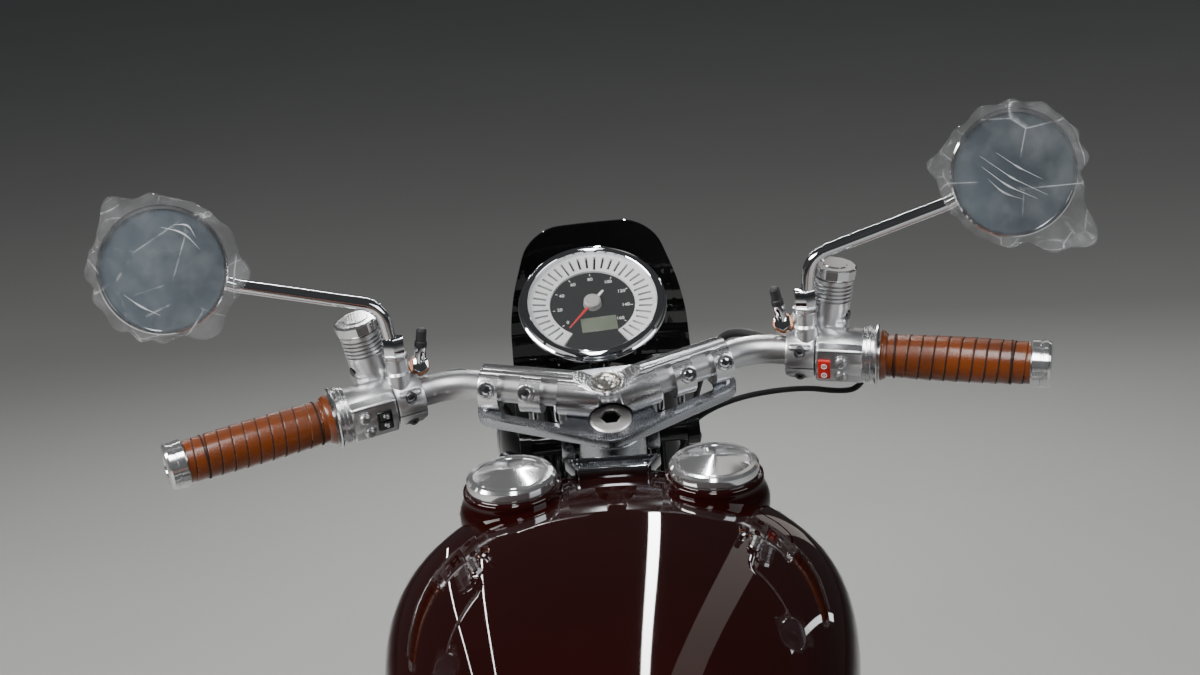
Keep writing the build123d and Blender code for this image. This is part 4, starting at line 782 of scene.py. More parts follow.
def bar_run(y: float, outer: bool) -> Matrix:
    """A frame on the left bar's centre line, X rearwards, Y up and Z outwards.

    Args:
        y: distance out from the centre line.
        outer: on the swept-back run and not in the clamp.

    Returns:
        The frame, on the yoke's axes.
    """
    points = ((9, 4), (44, 113.5), (-14.5, 328))
    (e1, y1), (e2, y2) = points[1:] if outer else points[:2]
    run = Vector((e2 - e1, y2 - y1, 0)).normalized()
    e = e1 + (y - y1) / (y2 - y1) * (e2 - e1)
    return facing((e, y, 14), run, (-run.y, run.x, 0))


@dataclass
class PhotoCamera:
    """The photograph's view, from above the seat over the tank."""

    lens_mm: float = 80.55
    sensor_mm: float = 36.0
    place: Vector = field(default_factory=lambda: Vector((-1.915, -0.0368, 0.5748)))
    pitch_deg: float = 14.99
    heading_deg: float = 1.213
    roll_deg: float = 4.1

    def build(self) -> None:
        """Makes the camera the scene's own."""
        data = bpy.data.cameras.new("photo_camera")
        data.lens, data.sensor_width = self.lens_mm, self.sensor_mm
        data.clip_start, data.clip_end = 0.05, 200
        camera = linked("photo_camera", data)
        pitch, heading, roll = (radians(a) for a in (self.pitch_deg, self.heading_deg, self.roll_deg))
        ahead = Vector((cos(pitch) * cos(heading), cos(pitch) * sin(heading), -sin(pitch)))
        right = ahead.cross(Vector((0, 0, 1))).normalized()
        up = right.cross(ahead)
        x = right * cos(roll) - up * sin(roll)
        y = up * cos(roll) + right * sin(roll)
        basis = Matrix((x, y, -ahead)).transposed().to_4x4()
        camera.matrix_world = Matrix.Translation(MACHINE_AXES.translation + self.place) @ basis
        bpy.context.scene.camera = camera


@dataclass
class Studio:
    """Pale floor and soft lights."""

    floor_half: float = 60.0
    floor_tint: Point = (0.50, 0.50, 0.49)
    sky: float = 0.05

    def light(self, name: str, place: Point, target: Point, size: Point, power: float, tint: Point = (1, 1, 1),
            lean_deg: float = 0.0) -> None:
        """A rectangular lamp that faces a point.

        Args:
            name: of the lamp.
            place: its centre.
            target: what it faces.
            size: its width and height.
            power: in watts.
            tint: its colour.
            lean_deg: how far its height leans from upright.
        """
        data = bpy.data.lights.new(name, "AREA")
        data.shape, data.size, data.size_y = "RECTANGLE", size[0], size[1]
        data.energy, data.color = power, tint
        obj = linked(name, data)
        obj.location = place
        aim = (Vector(target) - Vector(place)).to_track_quat("-Z", "Y").to_matrix()
        obj.rotation_euler = (aim @ Matrix.Rotation(radians(lean_deg), 3, "Z")).to_euler()

    def build(self) -> None:
        """Floor, sky and lamps."""
        form = Form().block((self.floor_half * 2, self.floor_half * 2, 0.02), at(0, 0, -0.01))
        mesh = bpy.data.meshes.new("floor")
        form.bm.to_mesh(mesh)
        floor = linked("floor", mesh)
        shader = Shader("floor")
        shader.set(Roughness=0.85, Base_Color=shader.ramp(shader.noise(1.5),
            (0.3, tuple(c * 0.96 for c in self.floor_tint)), (0.7, self.floor_tint)))
        mesh.materials.append(shader.material)
        world = bpy.data.worlds.new("studio")
        world.use_nodes = True
        background = world.node_tree.nodes["Background"]
        background.inputs["Color"].default_value = (0.92, 0.95, 1, 1)
        background.inputs["Strength"].default_value = self.sky
        bpy.context.scene.world = world
        for lamp in (("key", (-0.9, 2.7, 2.9), (0.2, 0, 0.8), (2.4, 0.8), 170, (1, 0.985, 0.96)),
                ("fill", (-1.4, -3, 2.5), (0.2, 0, 0.8), (2.2, 1.6), 48, (0.94, 0.97, 1)),
                ("crown", (-1.6, 0, 3.4), (0.1, 0, 0.7), (0.5, 2.2), 55),
                ("streak", (3, -0.10, 2.5), (0.2, 0, 0.9), (0.05, 3.6), 36),
                ("left_line", (3, 0.92, 2.5), (0.2, 0, 0.9), (0.014, 3.4), 5, (1, 1, 1), -20),
                ("left_tube", (3, 1.37, 2.5), (0.2, 0, 0.9), (0.014, 2.4), 3, (1, 1, 1), -21),
                ("right_panel", (3, -0.80, 2.5), (0.2, 0, 0.9), (0.30, 3.6), 2, (1, 0.93, 0.86), -6),
                ("rim", (3.4, -2.4, 2.6), (0.2, 0, 0.9), (0.10, 2), 5, (0.95, 0.98, 1))):
            self.light(*lamp)


@dataclass
class TopYoke:
    """Top yoke cut from one billet: clamps, open arms, stem washer and badge."""

    clamp_r: float = 17.0
    bar_r: float = 11.1
    ends: tuple[float, float] = (4.0, 92.0)
    windows: tuple[tuple[float, float], ...] = ((40.5, 13.0), (69.8, 16.2))
    bolts: tuple[float, float] = (56.5, 85.2)
    flutes: tuple[float, ...] = (66.0, 79.0, 92.0, 105.0, 118.0)
    lobe_deg: float = 30.0
    screw_seat: float = 15.2
    washer_r: float = 16.0
    badge_e: float = 18.0
    plate_t: float = 8.0

    def along(self, y: float) -> float:
        """Distance along the clamp from its inner end."""
        return (y - self.ends[0]) / 0.9525

    def lobe(self, y: float, reach: float = 0.0) -> Matrix:
        """The frame of one screw's lobe, Z out along the screw."""
        lean = radians(self.lobe_deg)
        return bar_run(self.ends[0], False) @ at(0, 0, self.along(y)) @ facing(polar(reach, lean), polar(1, lean),
            (0, 0, 1))

    def clamps(self) -> None:
        """Fluted half tubes with open windows, and tongues for their bolts."""
        base = bar_run(self.ends[0], False)
        section = []
        for i in range(90):
            angle = radians(i * 4)
            dip = sum(max(0, 1 - abs(degrees(angle) - f) / 4.2) for f in self.flutes)
            section.append(polar(self.clamp_r - 1.9 * dip, angle)[:2])
        form = Form().prism(section, 0, self.along(self.ends[1]), base, edge=0.5)
        for y in self.bolts:
            form.rod(7, 18.6, self.lobe(y), bevel=0.8, sides=40)
        form.rod(5, 12, base @ at(6, -21, self.along(88)) @ UPWARDS, bevel=0.6)
        form.carve(Form().rod(self.bar_r + 0.2, 120, base @ at(0, 0, self.along(24)), sides=48))
        for y, width in self.windows:
            outline = [(0, 0), polar(34, radians(77))[:2], (48, 30), (48, -40), (-14, -40), (-14, -3)]
            form.carve(Form().prism(outline, -width / 2, width / 2, base @ at(0, 0, self.along(y))))
        for y in self.bolts:
            form.carve(Form().rod(5.4, 12, self.lobe(y, self.screw_seat), sides=36))
        form.mirrored()
        for cutter in self.recesses():
            form.carve(cutter)
        form.piece("yoke_clamps", MACHINED, "yoke", sharp_deg=24)

    def recesses(self) -> list[Form]:
        """What is milled out of the clamps round the washer and the badge."""
        well, bowl = Form(), Form()
        well.rod(1, 95, facing((17.1, 0, -14.4), (-0.777, 0, 0.63)) @ Matrix.Diagonal((17.4, 11.3, 1, 1)), sides=72)
        steps = [(0, 17.6), (12.4, 17.6)]
        for i in range(5):
            radius, height = 13.6 + i * 2.4, 18.4 + i * 2.4
            steps += [(radius, height), (radius + 0.5, height + 1.5), (radius + 1.9, height + 1.6)]
        bowl.lathe(steps + [(26, 31), (26, 60), (0, 60)], at(self.badge_e, 0, 0), steps=96)
        return [well, bowl]

    def fasteners(self) -> None:
        """Domed socket screws in the tongues, and posts between clamp and arm."""
        form = Form()
        for y in self.bolts:
            form.lathe([(0, 0.6), (2.1, 0.6), (2.1, 3.2), (3.4, 2.9), (4.6, 1.7), (4.9, 0), (4.9, -2), (0, -2)],
                self.lobe(y, self.screw_seat), steps=36)
        for y in (36, 52):
            form.rod(2.4, 16, bar_run(y, False) @ at(10, -19, 0) @ UPWARDS, sides=20)
        form.mirrored().piece("yoke_screws", CHROME)

    def plate(self) -> None:
        """The triangular arms with their openings, rear nose and front bridge."""
        outline = [(-26, 0), (-19, 19), (17, 96), (30, 99), (48, 88), (60, 30), (60, -30), (48, -88), (30, -99),
            (17, -96), (-19, -19)]
        form = Form().prism(outline, -1 - self.plate_t, -1, corner=9, edge=0.6, segments=8)
        hole = [(-1.5, 34), (20.5, 82), (46, 79), (50, 44), (24, 31)]
        for side in Side:
            form.carve(Form().prism([(e, y * side.value) for e, y in hole], -20, 10, corner=5, segments=5))
        form.carve(Form().rod(self.washer_r + 0.4, 10, at(0, 0, -3), sides=64))
        for side in Side:
            form.block((20, 9.5, 52), at(39, side.value * 33, -29), 2)
            form.rod(15, 9.5, facing((41, side.value * 33 - 4.75, -52), (0, 1, 0)), bevel=1)
        form.block((24, 34, 26), at(56, 0, -21), 2)
        form.rod(12, 34, facing((60, -17, -30), (0, 1, 0)), bevel=1)
        # The plate is satin aluminium; its darker, bluer finish is painted shade.
        form.piece("yoke_plate", SHADED_SATIN, sharp_deg=28)

    def centre(self) -> None:
        """Badge boss and badge, stem washer and its socket, bearing cover and head casting."""
        stub = at(self.badge_e, 0, 0)
        form = Form().lathe([(0, 18.4), (10.9, 18.4), (11.2, 19.4), (12.6, 19.4), (12.9, 18.4), (12.9, 15.2),
            (11.4, 14.4), (11.4, 11), (13.5, 6), (16, -1), (16, -4), (0, -4)], stub, steps=72)
        form.carve(self.recesses()[0])
        form.piece("badge_boss", MACHINED)
        Form().lathe([(0, 21.4), (2.6, 21.2), (3.4, 20.1), (4.6, 20), (5.4, 20.9), (7.4, 20.8), (8.2, 19.9),
            (9.2, 19.9), (9.8, 21.2), (10.8, 21), (11.2, 20.2), (11.2, 18.4), (0, 18.4)], stub,
            steps=64).piece("blank_badge", NICKEL, "yoke_cap")
        washer, bore, socket = Form(), Form(), Form()
        washer.lathe([(0, 0.6), (12.4, 0.6), (15, -0.1), (self.washer_r, -1.2), (self.washer_r, -5), (0, -5)],
            steps=96)
        bore.rod(7.9, 14, at(0, 0, -6), sides=6)
        washer.carve(bore)
        washer.piece("stem_washer", TurnedFinish("turned_washer", (0.84, 0.82, 0.80), 0.33,
            tuple(YOKE_AXES.translation), tuple(YOKE_AXES.to_3x3().col[2].normalized()), 0.0006, 0.000006),
            "stem_bolt", slot="polished_steel")
        socket.rod(8.1, 3, at(0, 0, -4.8), sides=6)
        socket.piece("stem_socket", DIAL_BLACK)
        # The bearing cover is satin aluminium; its darker, bluer finish is painted shade.
        Form().lathe([(22, -9.4), (24.4, -9.4), (25, -10.2), (25, -38.5), (24.4, -40), (22, -40)], steps=96,
            closed=True).piece("head_bearing_cover", SHADED_SATIN, mount=HEAD)
        Form().prism([(-20, -38), (-14, -42), (-4, -24), (-4, 24), (-14, 42), (-20, 38), (-38, 20), (-38, -20)], -60,
            -50, corner=4, edge=1.2).piece("head_casting", GREY_CAST, mount=HEAD)

    def build(self) -> None:
        """Makes the whole yoke."""
        self.clamps()
        self.fasteners()
        self.plate()
        self.centre()


@dataclass
class Handlebars:
    """Clip-on bars with wrapped leather grips and turned ends."""

    bar_r: float = 11.1
    grip_r: float = 17.0
    grip_ends: tuple[float, float] = (207.0, 314.0)
    wrap_pitch: float = 9.7

    def build(self) -> None:
        """Bars, grips and ends on both sides."""
        tube = Form()
        start = bar_run(24.5, False).translation
        tube.sweep(rounded([start, (44, 113.5, 14), (-14.5, 328, 14)], 60, 16), self.bar_r, sides=48)
        tube.mirrored().piece("handlebar_tubes", STEEL, "handlebars")
        for side in Side:
            self.grip(side)
        ends = Form()
        base = bar_run(self.grip_ends[1], True)
        ends.lathe([(0, 14.2), (7, 14.2), (7.6, 15.4), (13.4, 15.6), (16.6, 14.6), (17.8, 12.8), (17.8, 9.6), (17, 9),
            (17, 7.6), (17.8, 7), (17.8, 1.2), (12, 1), (0, 1)], base, steps=64)
        ends.mirrored().piece("bar_end_caps", POLISHED, "bar_ends")

    def grip(self, side: Side) -> None:
        """One leather grip, wound in overlapping turns.

        Args:
            side: of the machine.
        """
        length = (self.grip_ends[1] - self.grip_ends[0]) / 0.965
        base = bar_run(self.grip_ends[0], True)
        form = Form()
        rows = 260
        outline = [(11.2, 0)] + [(self.grip_r, length * i / rows) for i in range(rows + 1)] + [(11.2, length)]
        for vert in form.lathe(outline, steps=64).bm.verts:
            radius = hypot(vert.co.x, vert.co.y)
            if radius < 12:
                continue
            angle = atan2(vert.co.y, vert.co.x) * side.value
            turn = (vert.co.z / self.wrap_pitch + angle / tau) % 1
            lift = 0.7 * turn - 1.3 * exp(-((turn - 0.97) / 0.03) ** 2)
            swell = 1.3 * sin(pi * min(1, max(0, vert.co.z / length))) - 0.9
            flange = 3.4 * max(0, 1 - vert.co.z / 5) ** 0.5 if vert.co.z < 5 else 0
            grow = (self.grip_r + lift * 0.75 + swell + flange - 0.6) / radius
            vert.co.x *= grow
            vert.co.y *= grow
        seam = Form()
        turns = int(length / self.wrap_pitch) - 2
        path = []
        for i in range(turns * 24 + 1):
            angle = -tau * i / 24 * side.value
            rise = self.wrap_pitch * (1.97 + i / 24)
            reach = self.grip_r + 1.3 * sin(pi * rise / length) - 1.55
            path.append(polar(reach, angle, rise))
        seam.sweep(path, 0.62, sides=6)
        for ring in (10.5, length - 14):
            seam.lathe([(self.grip_r - 2.2, ring - 0.6), (self.grip_r - 0.2, ring - 0.6),
                (self.grip_r - 0.2, ring + 0.6), (self.grip_r - 2.2, ring + 0.6)], steps=48, closed=True)
        for part, name, finish in ((form, "grip", COGNAC), (seam, "grip_seam", DARK_HIDE)):
            part.moved(base).on(side).piece(f"{name}_{side.name.lower()}", finish, "grips", sharp_deg=40)


@dataclass
class Controls:
    """Perches, switch blocks, fluid reservoirs, levers and hose fittings."""

    perch_y: float = 139.0
    perch_w: float = 22.0
    switch_w: float = 36.0
    reservoir_r: float = 15.6

    def build(self) -> None:
        """Makes every control on its side."""
        self.perches()
        self.switches()
        self.reservoirs()
        self.levers()
        self.fittings()

    def perches(self) -> None:
        """Split clamps with recessed screws and an arm to the lever."""
        base = bar_run(self.perch_y, True)
        form = Form().prism(circle(19, 6), 0, self.perch_w, base, edge=1.4)
        form.block((30, 26, self.perch_w), base @ at(-18, 0, self.perch_w / 2), 3, 3)
        form.block((15, 31, self.perch_w - 3), base @ at(7.5, 0, self.perch_w / 2), 3.2, 3)
        form.block((26, 22, 40), base @ at(-23, 12, self.perch_w + 2), 4, 3)
        form.lathe([(0, 0), (9.6, 0), (9.6, 22), (8.4, 24), (8.4, 33), (9.4, 34), (9.4, 37), (0, 37)],
            facing(level(19, 153, 26), level(-2, 1, 36)), steps=40)
        form.carve(Form().block((60, 1.1, 40), base @ at(14, -1.5, 8)))
        for height in (11, -12):
            form.carve(Form().rod(4.4, 20, base @ at(12.5, height, self.perch_w / 2) @ OUT, sides=32))
        form.mirrored().piece("control_perches", SATIN, "brake_perches", sharp_deg=26)
        screws = Form()
        for height in (11, -12):
            screws.lathe([(0, 0), (2, 0), (2, 3), (3.6, 2.8), (3.9, 2.2), (3.9, -2), (0, -2)],
                base @ at(12.4, height, self.perch_w / 2) @ OUT, steps=28)
        screws.mirrored().piece("perch_screws", DARK_STEEL)

    def switches(self) -> None:
        """Round switch blocks with flat faces, buttons, rockers and stepped rings."""
        base = bar_run(self.perch_y, True) @ at(0, 0, self.perch_w + 0.8)
        form = Form().prism(circle(19.6, 5), 0, self.switch_w, base, edge=1.2)
        form.block((17, 31, self.switch_w - 0.6), base @ at(10.2, 1.5, self.switch_w / 2), 2.6, 4)
        form.carve(Form().block((50, 0.7, 60), base @ at(20, 15.2, 18)))
        form.mirrored().piece("switch_blocks", SATIN, "switch_housings", sharp_deg=26)
        Form().lathe([(11.2, 34.5), (20.6, 34.5), (21.4, 35.2), (21.4, 37.6), (22.4, 38.2), (22.4, 40.6),
            (20.8, 41.2), (20.8, 43.4), (23, 44), (23.2, 45.2), (22, 46), (11.2, 46)], base, steps=72,
            closed=True).mirrored().piece("switch_rings", MACHINED, sharp_deg=24)
        for side in Side:
            self.buttons(base, side)

    def buttons(self, base: Matrix, side: Side) -> None:
        """Domed push buttons and the rocker of one block.

        Args:
            base: the block's frame on the left bar.
            side: of the machine.
        """
        spots = ((10, 7.6), (12.5, -6.4)) if side is Side.LEFT else ((16.5, 6.8), (16.5, -6))
        form = Form()
        for z, height in spots:
            form.lathe([(0, 4.4), (2.6, 4.2), (4, 3.2), (4.5, 1.6), (4.6, 0.6), (5.6, 0.5), (5.8, -1), (0, -1)],
                base @ at(18.6, height, self.switch_w - z) @ OUT, steps=32)
        form.on(side).piece(f"push_buttons_{side.name.lower()}", STEEL, sharp_deg=26)
        left = side is Side.LEFT
        spot = base @ at(19, 0.8 if left else -0.5, 11 if left else 7)
        rocker = Form().block((3.6, 17, 12 if left else 9.5), spot, 1, 3)
        rocker.on(side).piece(f"rocker_{side.name.lower()}", GLOSS_BLACK if left else RED, slot="black_plastic",
            sharp_deg=26)
        pads, marks = Form(), Form()
        for height in (4.2, -4.2):
            pad = spot @ at(1.7, height, 0)
            out = pad @ at(0.75, 0, 0) @ OUT
            if left:
                pads.block((1.2, 6.4, 8), pad, 0.5, 2)
                bulb = [polar(1.5, radians(a)) for a in range(-90, 91, 30)]
                marks.prism([(y + 1.2, z) for z, y, _ in bulb], 0, 0.25, out)
                for step in (-1.4, 0, 1.4):
                    marks.block((0.5, 1.9, 0.25), out @ at(step, -1.6 - height * 0.06, 0.1))
            else:
                marks.lathe([(1.5, 0), (2.3, 0), (2.3, 0.3), (1.5, 0.3)], out, steps=24, closed=True)
                marks.rod(0.6, 0.3, out, sides=12)
        if left:
            pads.piece("rocker_pads", RUBBER, sharp_deg=26)
        marks.on(side).piece(f"rocker_marks_{side.name.lower()}", WHITE, sharp_deg=26)

    def reservoirs(self) -> None:
        """Grooved fluid pots with faceted caps and sight glasses."""
        lean = Matrix.Rotation(radians(RAKE_DEG - 8), 4, "Y") @ Matrix.Rotation(radians(-10), 4, "X")
        spot = Matrix.Translation(level(34, 175, 60)) @ lean
        form = Form()
        profile = [(0, -24), (7, -24), (7, -20), (self.reservoir_r, -18)]
        for i in range(5):
            low = 4 + i * 3.1
            profile += [(self.reservoir_r, low), (self.reservoir_r - 2.2, low + 0.3),
                (self.reservoir_r - 2.2, low + 1.3), (self.reservoir_r, low + 1.6)]
        profile += [(self.reservoir_r, 21), (0, 21)]
        form.lathe(profile, spot, steps=64)
        form.rod(7.5, 26, spot @ at(-3, -4, -42), bevel=1)
        form.mirrored().piece("reservoir_bodies", SATIN, "reservoirs", sharp_deg=26)
        cap = Form()
        outline = []
        for i in range(96):
            angle = radians(i * 3.75)
            facet = radians((i * 3.75) % 30 - 15)
            outline.append(polar(16.9 * 0.985 / cos(facet), angle)[:2])
        cap.prism(outline, 21.6, 30.5, spot, edge=1.3)
        cap.rod(9.5, 1, spot @ at(0, 0, 30.2), bevel=0.5)
        cap.mirrored().piece("reservoir_caps", POLISHED, sharp_deg=20)
        glass = Form()
        out = radians(120)
        glass.lathe([(0, 1.4), (3.4, 1.2), (4.4, 0.2), (4.4, -3), (0, -3)],
            spot @ facing(polar(self.reservoir_r * 0.97, out, -7), polar(1, out), (0, 0, 1)), steps=36)
        glass.mirrored().piece("sight_glasses", GLOSS_BLACK)

    def levers(self) -> None:
        """Bladed levers that curve to a rounded tip."""
        points = rounded([level(46, 150, 24), level(66, 176, 18), level(52, 250, 7), level(28, 335, -4)], 26, 10)
        form = Form().sweep(points, lambda share: 6.2 - 2.4 * sin(pi * share) + 1.4 * max(0, share - 0.8) * 5,
            sides=24, flat=0.72)
        form.rod(8, 16, facing(level(50, 150, 16), level(0, 0, 1)), bevel=1.2)
        form.mirrored().piece("brake_clutch_levers", POLISHED, "levers")

    def fittings(self) -> None:
        """Banjo unions, their copper washers, bleeders and first hose lengths."""
        up = level(-3, -6, 36).normalized()
        spot = facing(level(36, 139, 46), level(-22, -4, 9))
        metal, copper, black = Form(), Form(), Form()
        metal.lathe([(0, 0), (8, 0), (8, 6), (0, 6)], spot @ at(0, 0, 4), steps=40)
        metal.rod(6.8, 6, spot @ at(0, 0, 12), sides=6, bevel=0.6)
        metal.rod(4.4, 18, facing(level(24, 137, 50), up), bevel=0.6)
        for height in (2.4, 10.4):
            copper.lathe([(5, 0), (7.6, 0), (7.6, 1.4), (5, 1.4)], spot @ at(0, 0, height), steps=36, closed=True)
        black.lathe([(0, 30), (3, 29.6), (3.9, 28), (3.9, 20), (4.6, 19.2), (4.6, 15.5), (0, 15.5)],
            facing(level(24, 137, 50), up), steps=32)
        for form, name, finish in ((metal, "hose_unions", CHROME), (copper, "copper_washers", COPPER),
                (black, "bleed_caps", RUBBER)):
            form.mirrored().piece(name, finish, sharp_deg=28)


@dataclass
class Mirrors:
    """Round mirrors on bent stems, still in their clear wrapping."""

    centre: Point = (-10, 311, 153)

    def face(self) -> Matrix:
        """The left glass's frame, Z towards the rider."""
        x_dir = level(1, 0, 0)
        z_dir = level(0, 0, 1)
        return facing(level(*self.centre), z_dir * 0.10 - x_dir, (0, 1, 0))

    def build(self) -> None:
        """Stems, shells, rims, glasses and film on both sides."""
        face = self.face()
        stem = Form().sweep(rounded([level(17, 154, 58), level(15, 160, 101), level(2, 262, 132),
            level(-6, 290, 146)], 22, 12), 5, sides=32)
        stem.rod(8.6, 14, facing(level(17, 154, 62), level(0, 0, 1)), sides=6, bevel=0.8)
        stem.lathe([(5, 0), (9.5, 0), (9.5, 2.2), (5, 2.2)], facing(level(17, 154, 59.6), level(0, 0, 1)), steps=36,
            closed=True)
        stem.mirrored().piece("mirror_arms", CHROME, "mirror_stems")
        Form().lathe([(0, -16), (14, -15.4), (26, -13), (38, -8), (45, -2), (47, 2), (47.4, 4), (46.4, 5.2),
            (44.6, 5), (44, 3.6), (44, 1.6), (0, 1.6)], face, steps=96).mirrored().piece("mirror_backs", CHROME,
            "mirror_shells")
        Form().lathe([(0, 3.9), (20, 3.7), (40, 3.2), (43.9, 2.9), (43.9, 1.4), (0, 1.4)], face,
            steps=96).mirrored().piece("mirror_faces", SILVERED, "mirror_glasses")
        for side in Side:
            self.film(face, side)

    def film(self, face: Matrix, side: Side) -> None:
        """Clear wrapping drawn loosely round one mirror, with flaps and sharp creases.

        Args:
            face: the left glass's frame.
            side: of the machine.
        """
        flaps, shift, lean = ((2.13, 9), (5.27, 9), (2.9, 8)), 3.7, 2.5
        if side is Side.RIGHT:
            flaps, shift, lean = ((0.78, 27), (1.15, 14), (3.35, 8)), 11.3, 0.62
        form = Form()
        outline = [(0, 6.5), (12, 6.6), (24, 6.5), (34, 6.8), (42, 6.6), (47, 6.2), (50, 4.4), (52, 1), (52, -3),
            (50, -7), (45, -12), (34, -17), (20, -20), (9, -21)]
        for vert in form.lathe(outline, steps=120).bm.verts:
            radius, angle = hypot(vert.co.x, vert.co.y), atan2(vert.co.y, vert.co.x) % tau
            near = min(1, max(0, (radius - 40) / 10))
            corner = 3.2 * abs(noise.noise(polar(2.6, angle, 0.5) + Vector((shift, 0, 0)))) * near
            flap = sum(reach * exp(-((angle - at) / 0.22) ** 2) for at, reach in flaps) * near ** 2
            fold = noise.noise(Vector((vert.co.x * 0.09 + shift, vert.co.y * 0.09, vert.co.z * 0.07)))
            grow = 1 + (corner * 2 + flap + fold * 3 * near) / max(radius, 1)
            vert.co.x *= grow
            vert.co.y *= grow
            vert.co.z += (0.3 + 2.4 * near) * fold
        form.moved(face).on(side).piece(f"mirror_film_{side.name.lower()}", FILM, sharp_deg=60)
        self.creases(face, side, lean)

    def creases(self, face: Matrix, side: Side, lean: float) -> None:
        """Bright folds of the film where it is drawn across the glass.

        Args:
            face: the left glass's frame.
            side: of the machine.
            lean: direction of the folds.
        """
        form = Form()
        run = polar(1, lean)
        across = Vector((-run.y, run.x, 0))
        lines = ((27, 16), (-29, 15), (33, 9))
        if side is Side.RIGHT:
            lines = ((-6, 20), (2, 29), (8, 24), (13.5, 15))
        for off, reach in lines:
            middle = across * off + Vector((0, 0, 7.4))
            form.sweep(rounded([middle - run * reach, middle + across * (2 + off * 0.12), middle + run * reach], 60,
                8), lambda share: 0.1 + 0.8 * sin(pi * share), 6, 0.3)
        form.moved(face).on(side).piece(f"film_folds_{side.name.lower()}", FOLD)


@dataclass
class Gauge:
    """Round instrument with a polished bezel, brushed scale ring, needle and display."""

    centre: Point = (112, 0, 63)
    tilt_deg: float = 54.5
    slots: int = 34
    needle_deg: float = 229.0

    def face(self) -> Matrix:
        """The dial's frame: X to the left, Y up the dial, Z towards the rider."""
        tilt = radians(self.tilt_deg)
        normal = level(0, 0, 1) * sin(tilt) - level(1, 0, 0) * cos(tilt)
        return facing(level(*self.centre), normal, (0, -1, 0))

    def build(self) -> None:
        """Case, bezel, dial, scale, hand, display and glass."""
        face = self.face()
        Form().lathe([(0, -34), (34, -34), (44, -26), (49, -17), (50, -13), (54, -9.5), (55.5, -8), (0, -8)], face,
            steps=96).piece("gauge_case", GLOSS_BLACK, "gauge")
        Form().lathe([(50.2, -13.5), (54.6, -9.6), (57.4, -7.2), (58, -5), (57.6, -3.6), (56.4, -2.8), (56.2, -1.6),
            (55.4, 0.2), (53.6, 1.2), (51.8, 1), (50.6, 0), (50.2, -1.6), (50, -4.4), (47.6, -4.6), (47.6, -8)], face,
            steps=128, closed=True).piece("gauge_bezel", CHROME, sharp_deg=36)
        band = Form().lathe([(33.2, -6), (33.6, -4.6), (47.4, -3.2), (50, -3.2), (50, -7), (33.2, -7)], face,
            steps=128, closed=True)
        cutter = Form()
        step = 288 / self.slots
        for i in range(self.slots):
            cutter.block((10.5 if i % 4 else 12.5, 1.9, 6), face
                @ turned(radians(-54 + i * step), 41.6 if i % 4 else 40.8, -3.4))
        band.carve(cutter)
        band.carve(Form().prism([(0, 0)] + [polar(70, radians(a))[:2] for a in (-124, -60)], -7.5, 0, face))
        band.piece("scale_ring", SCALE_SILVER, sharp_deg=24)
        Form().lathe([(0, -6.2), (47.8, -6.2), (47.8, -8), (0, -8)], face, steps=96).piece("dial_plate", DIAL_BLACK)
        hand = Form()
        turn = face @ turned(radians(self.needle_deg))
        hand.prism([(-2, -1.5), (-2, 1.5), (31, 0.45), (31, -0.45)], -3.6, -2.6, turn, edge=0.2)
        hand.piece("gauge_needle", RED)
        Form().prism([(-14.5, -0.8), (-14.5, 0.8), (-4, 1.4), (-4, -1.4)], -3.6, -2.6, turn,
            edge=0.2).piece("needle_tail", WHITE)
        Form().lathe([(0, 0.4), (5.6, 0.2), (6.6, -0.6), (7.2, -5.4), (0, -5.4)], face, steps=48).piece("needle_hub",
            GREY_PLASTIC)
        Form().block((28, 14, 1), face @ at(3, -20.5, -5.8) @ turned(0.02), 0.3).piece("gauge_display", DISPLAY)
        self.numerals(face)
        Form().lathe([(0, -1), (30, -1.2), (50.4, -2), (50.4, -2.8), (0, -2.4)], face, steps=96).piece("gauge_cover",
            GAUGE_GLASS)

    def numerals(self, face: Matrix) -> None:
        """Printed speeds round the dial, and their ticks.

        Args:
            face: the dial's frame.
        """
        marks = Form()
        for i in range(9):
            angle = radians(216 - i * 32)
            marks.block((1.8, 0.5, 0.3), face @ turned(angle, 30.6, -6.1))
            curve = bpy.data.curves.new("figure", "FONT")
            curve.body = str(i * 20)
            curve.size, curve.extrude = 4.2, 0.1
            curve.align_x = curve.align_y = "CENTER"
            figure = linked("figure", curve)
            mesh = evaluated(figure)
            mesh.transform(face @ Matrix.Translation(polar(26, angle, -6)))
            marks.bm.from_mesh(mesh)
            bpy.data.objects.remove(figure)
        marks.piece("dial_figures", WHITE)


@dataclass
class Flyscreen:
    """Small curved screen in gloss black, open below for the lamp."""

    radius: float = 200.0
    wall: float = 3.0

    def build(self) -> None:
        """Cuts the sheet to its outline."""
        axis = facing(level(12, 0, 20), level(-0.26, 0, 1), (0, 1, 0))
        form = Form().lathe([(self.radius, -110), (self.radius, 110), (self.radius - self.wall, 110),
            (self.radius - self.wall, -110)], axis, steps=180, closed=True)
        outline = [(-82, -82), (68, -82), (64, 20), (42, 86), (-56, 86), (-78, 20)]
        cut = facing(level(60, 0, 20), level(1, 0, 0), (0, 1, 0))
        frame_up = cut.to_3x3().col[1].dot(level(0, 0, 1))
        keep = Form().prism([(y, z if frame_up > 0 else -z) for y, z in outline], 0, 230, cut, corner=24, segments=8)
        form.carve(keep, keep=True)
        form.carve(Form().rod(88.5, 300, facing(level(150, 0, -108), level(1, 0, 0)), sides=96))
        form.piece("small_screen", BLACK_LACQUER, "flyscreen", sharp_deg=34)


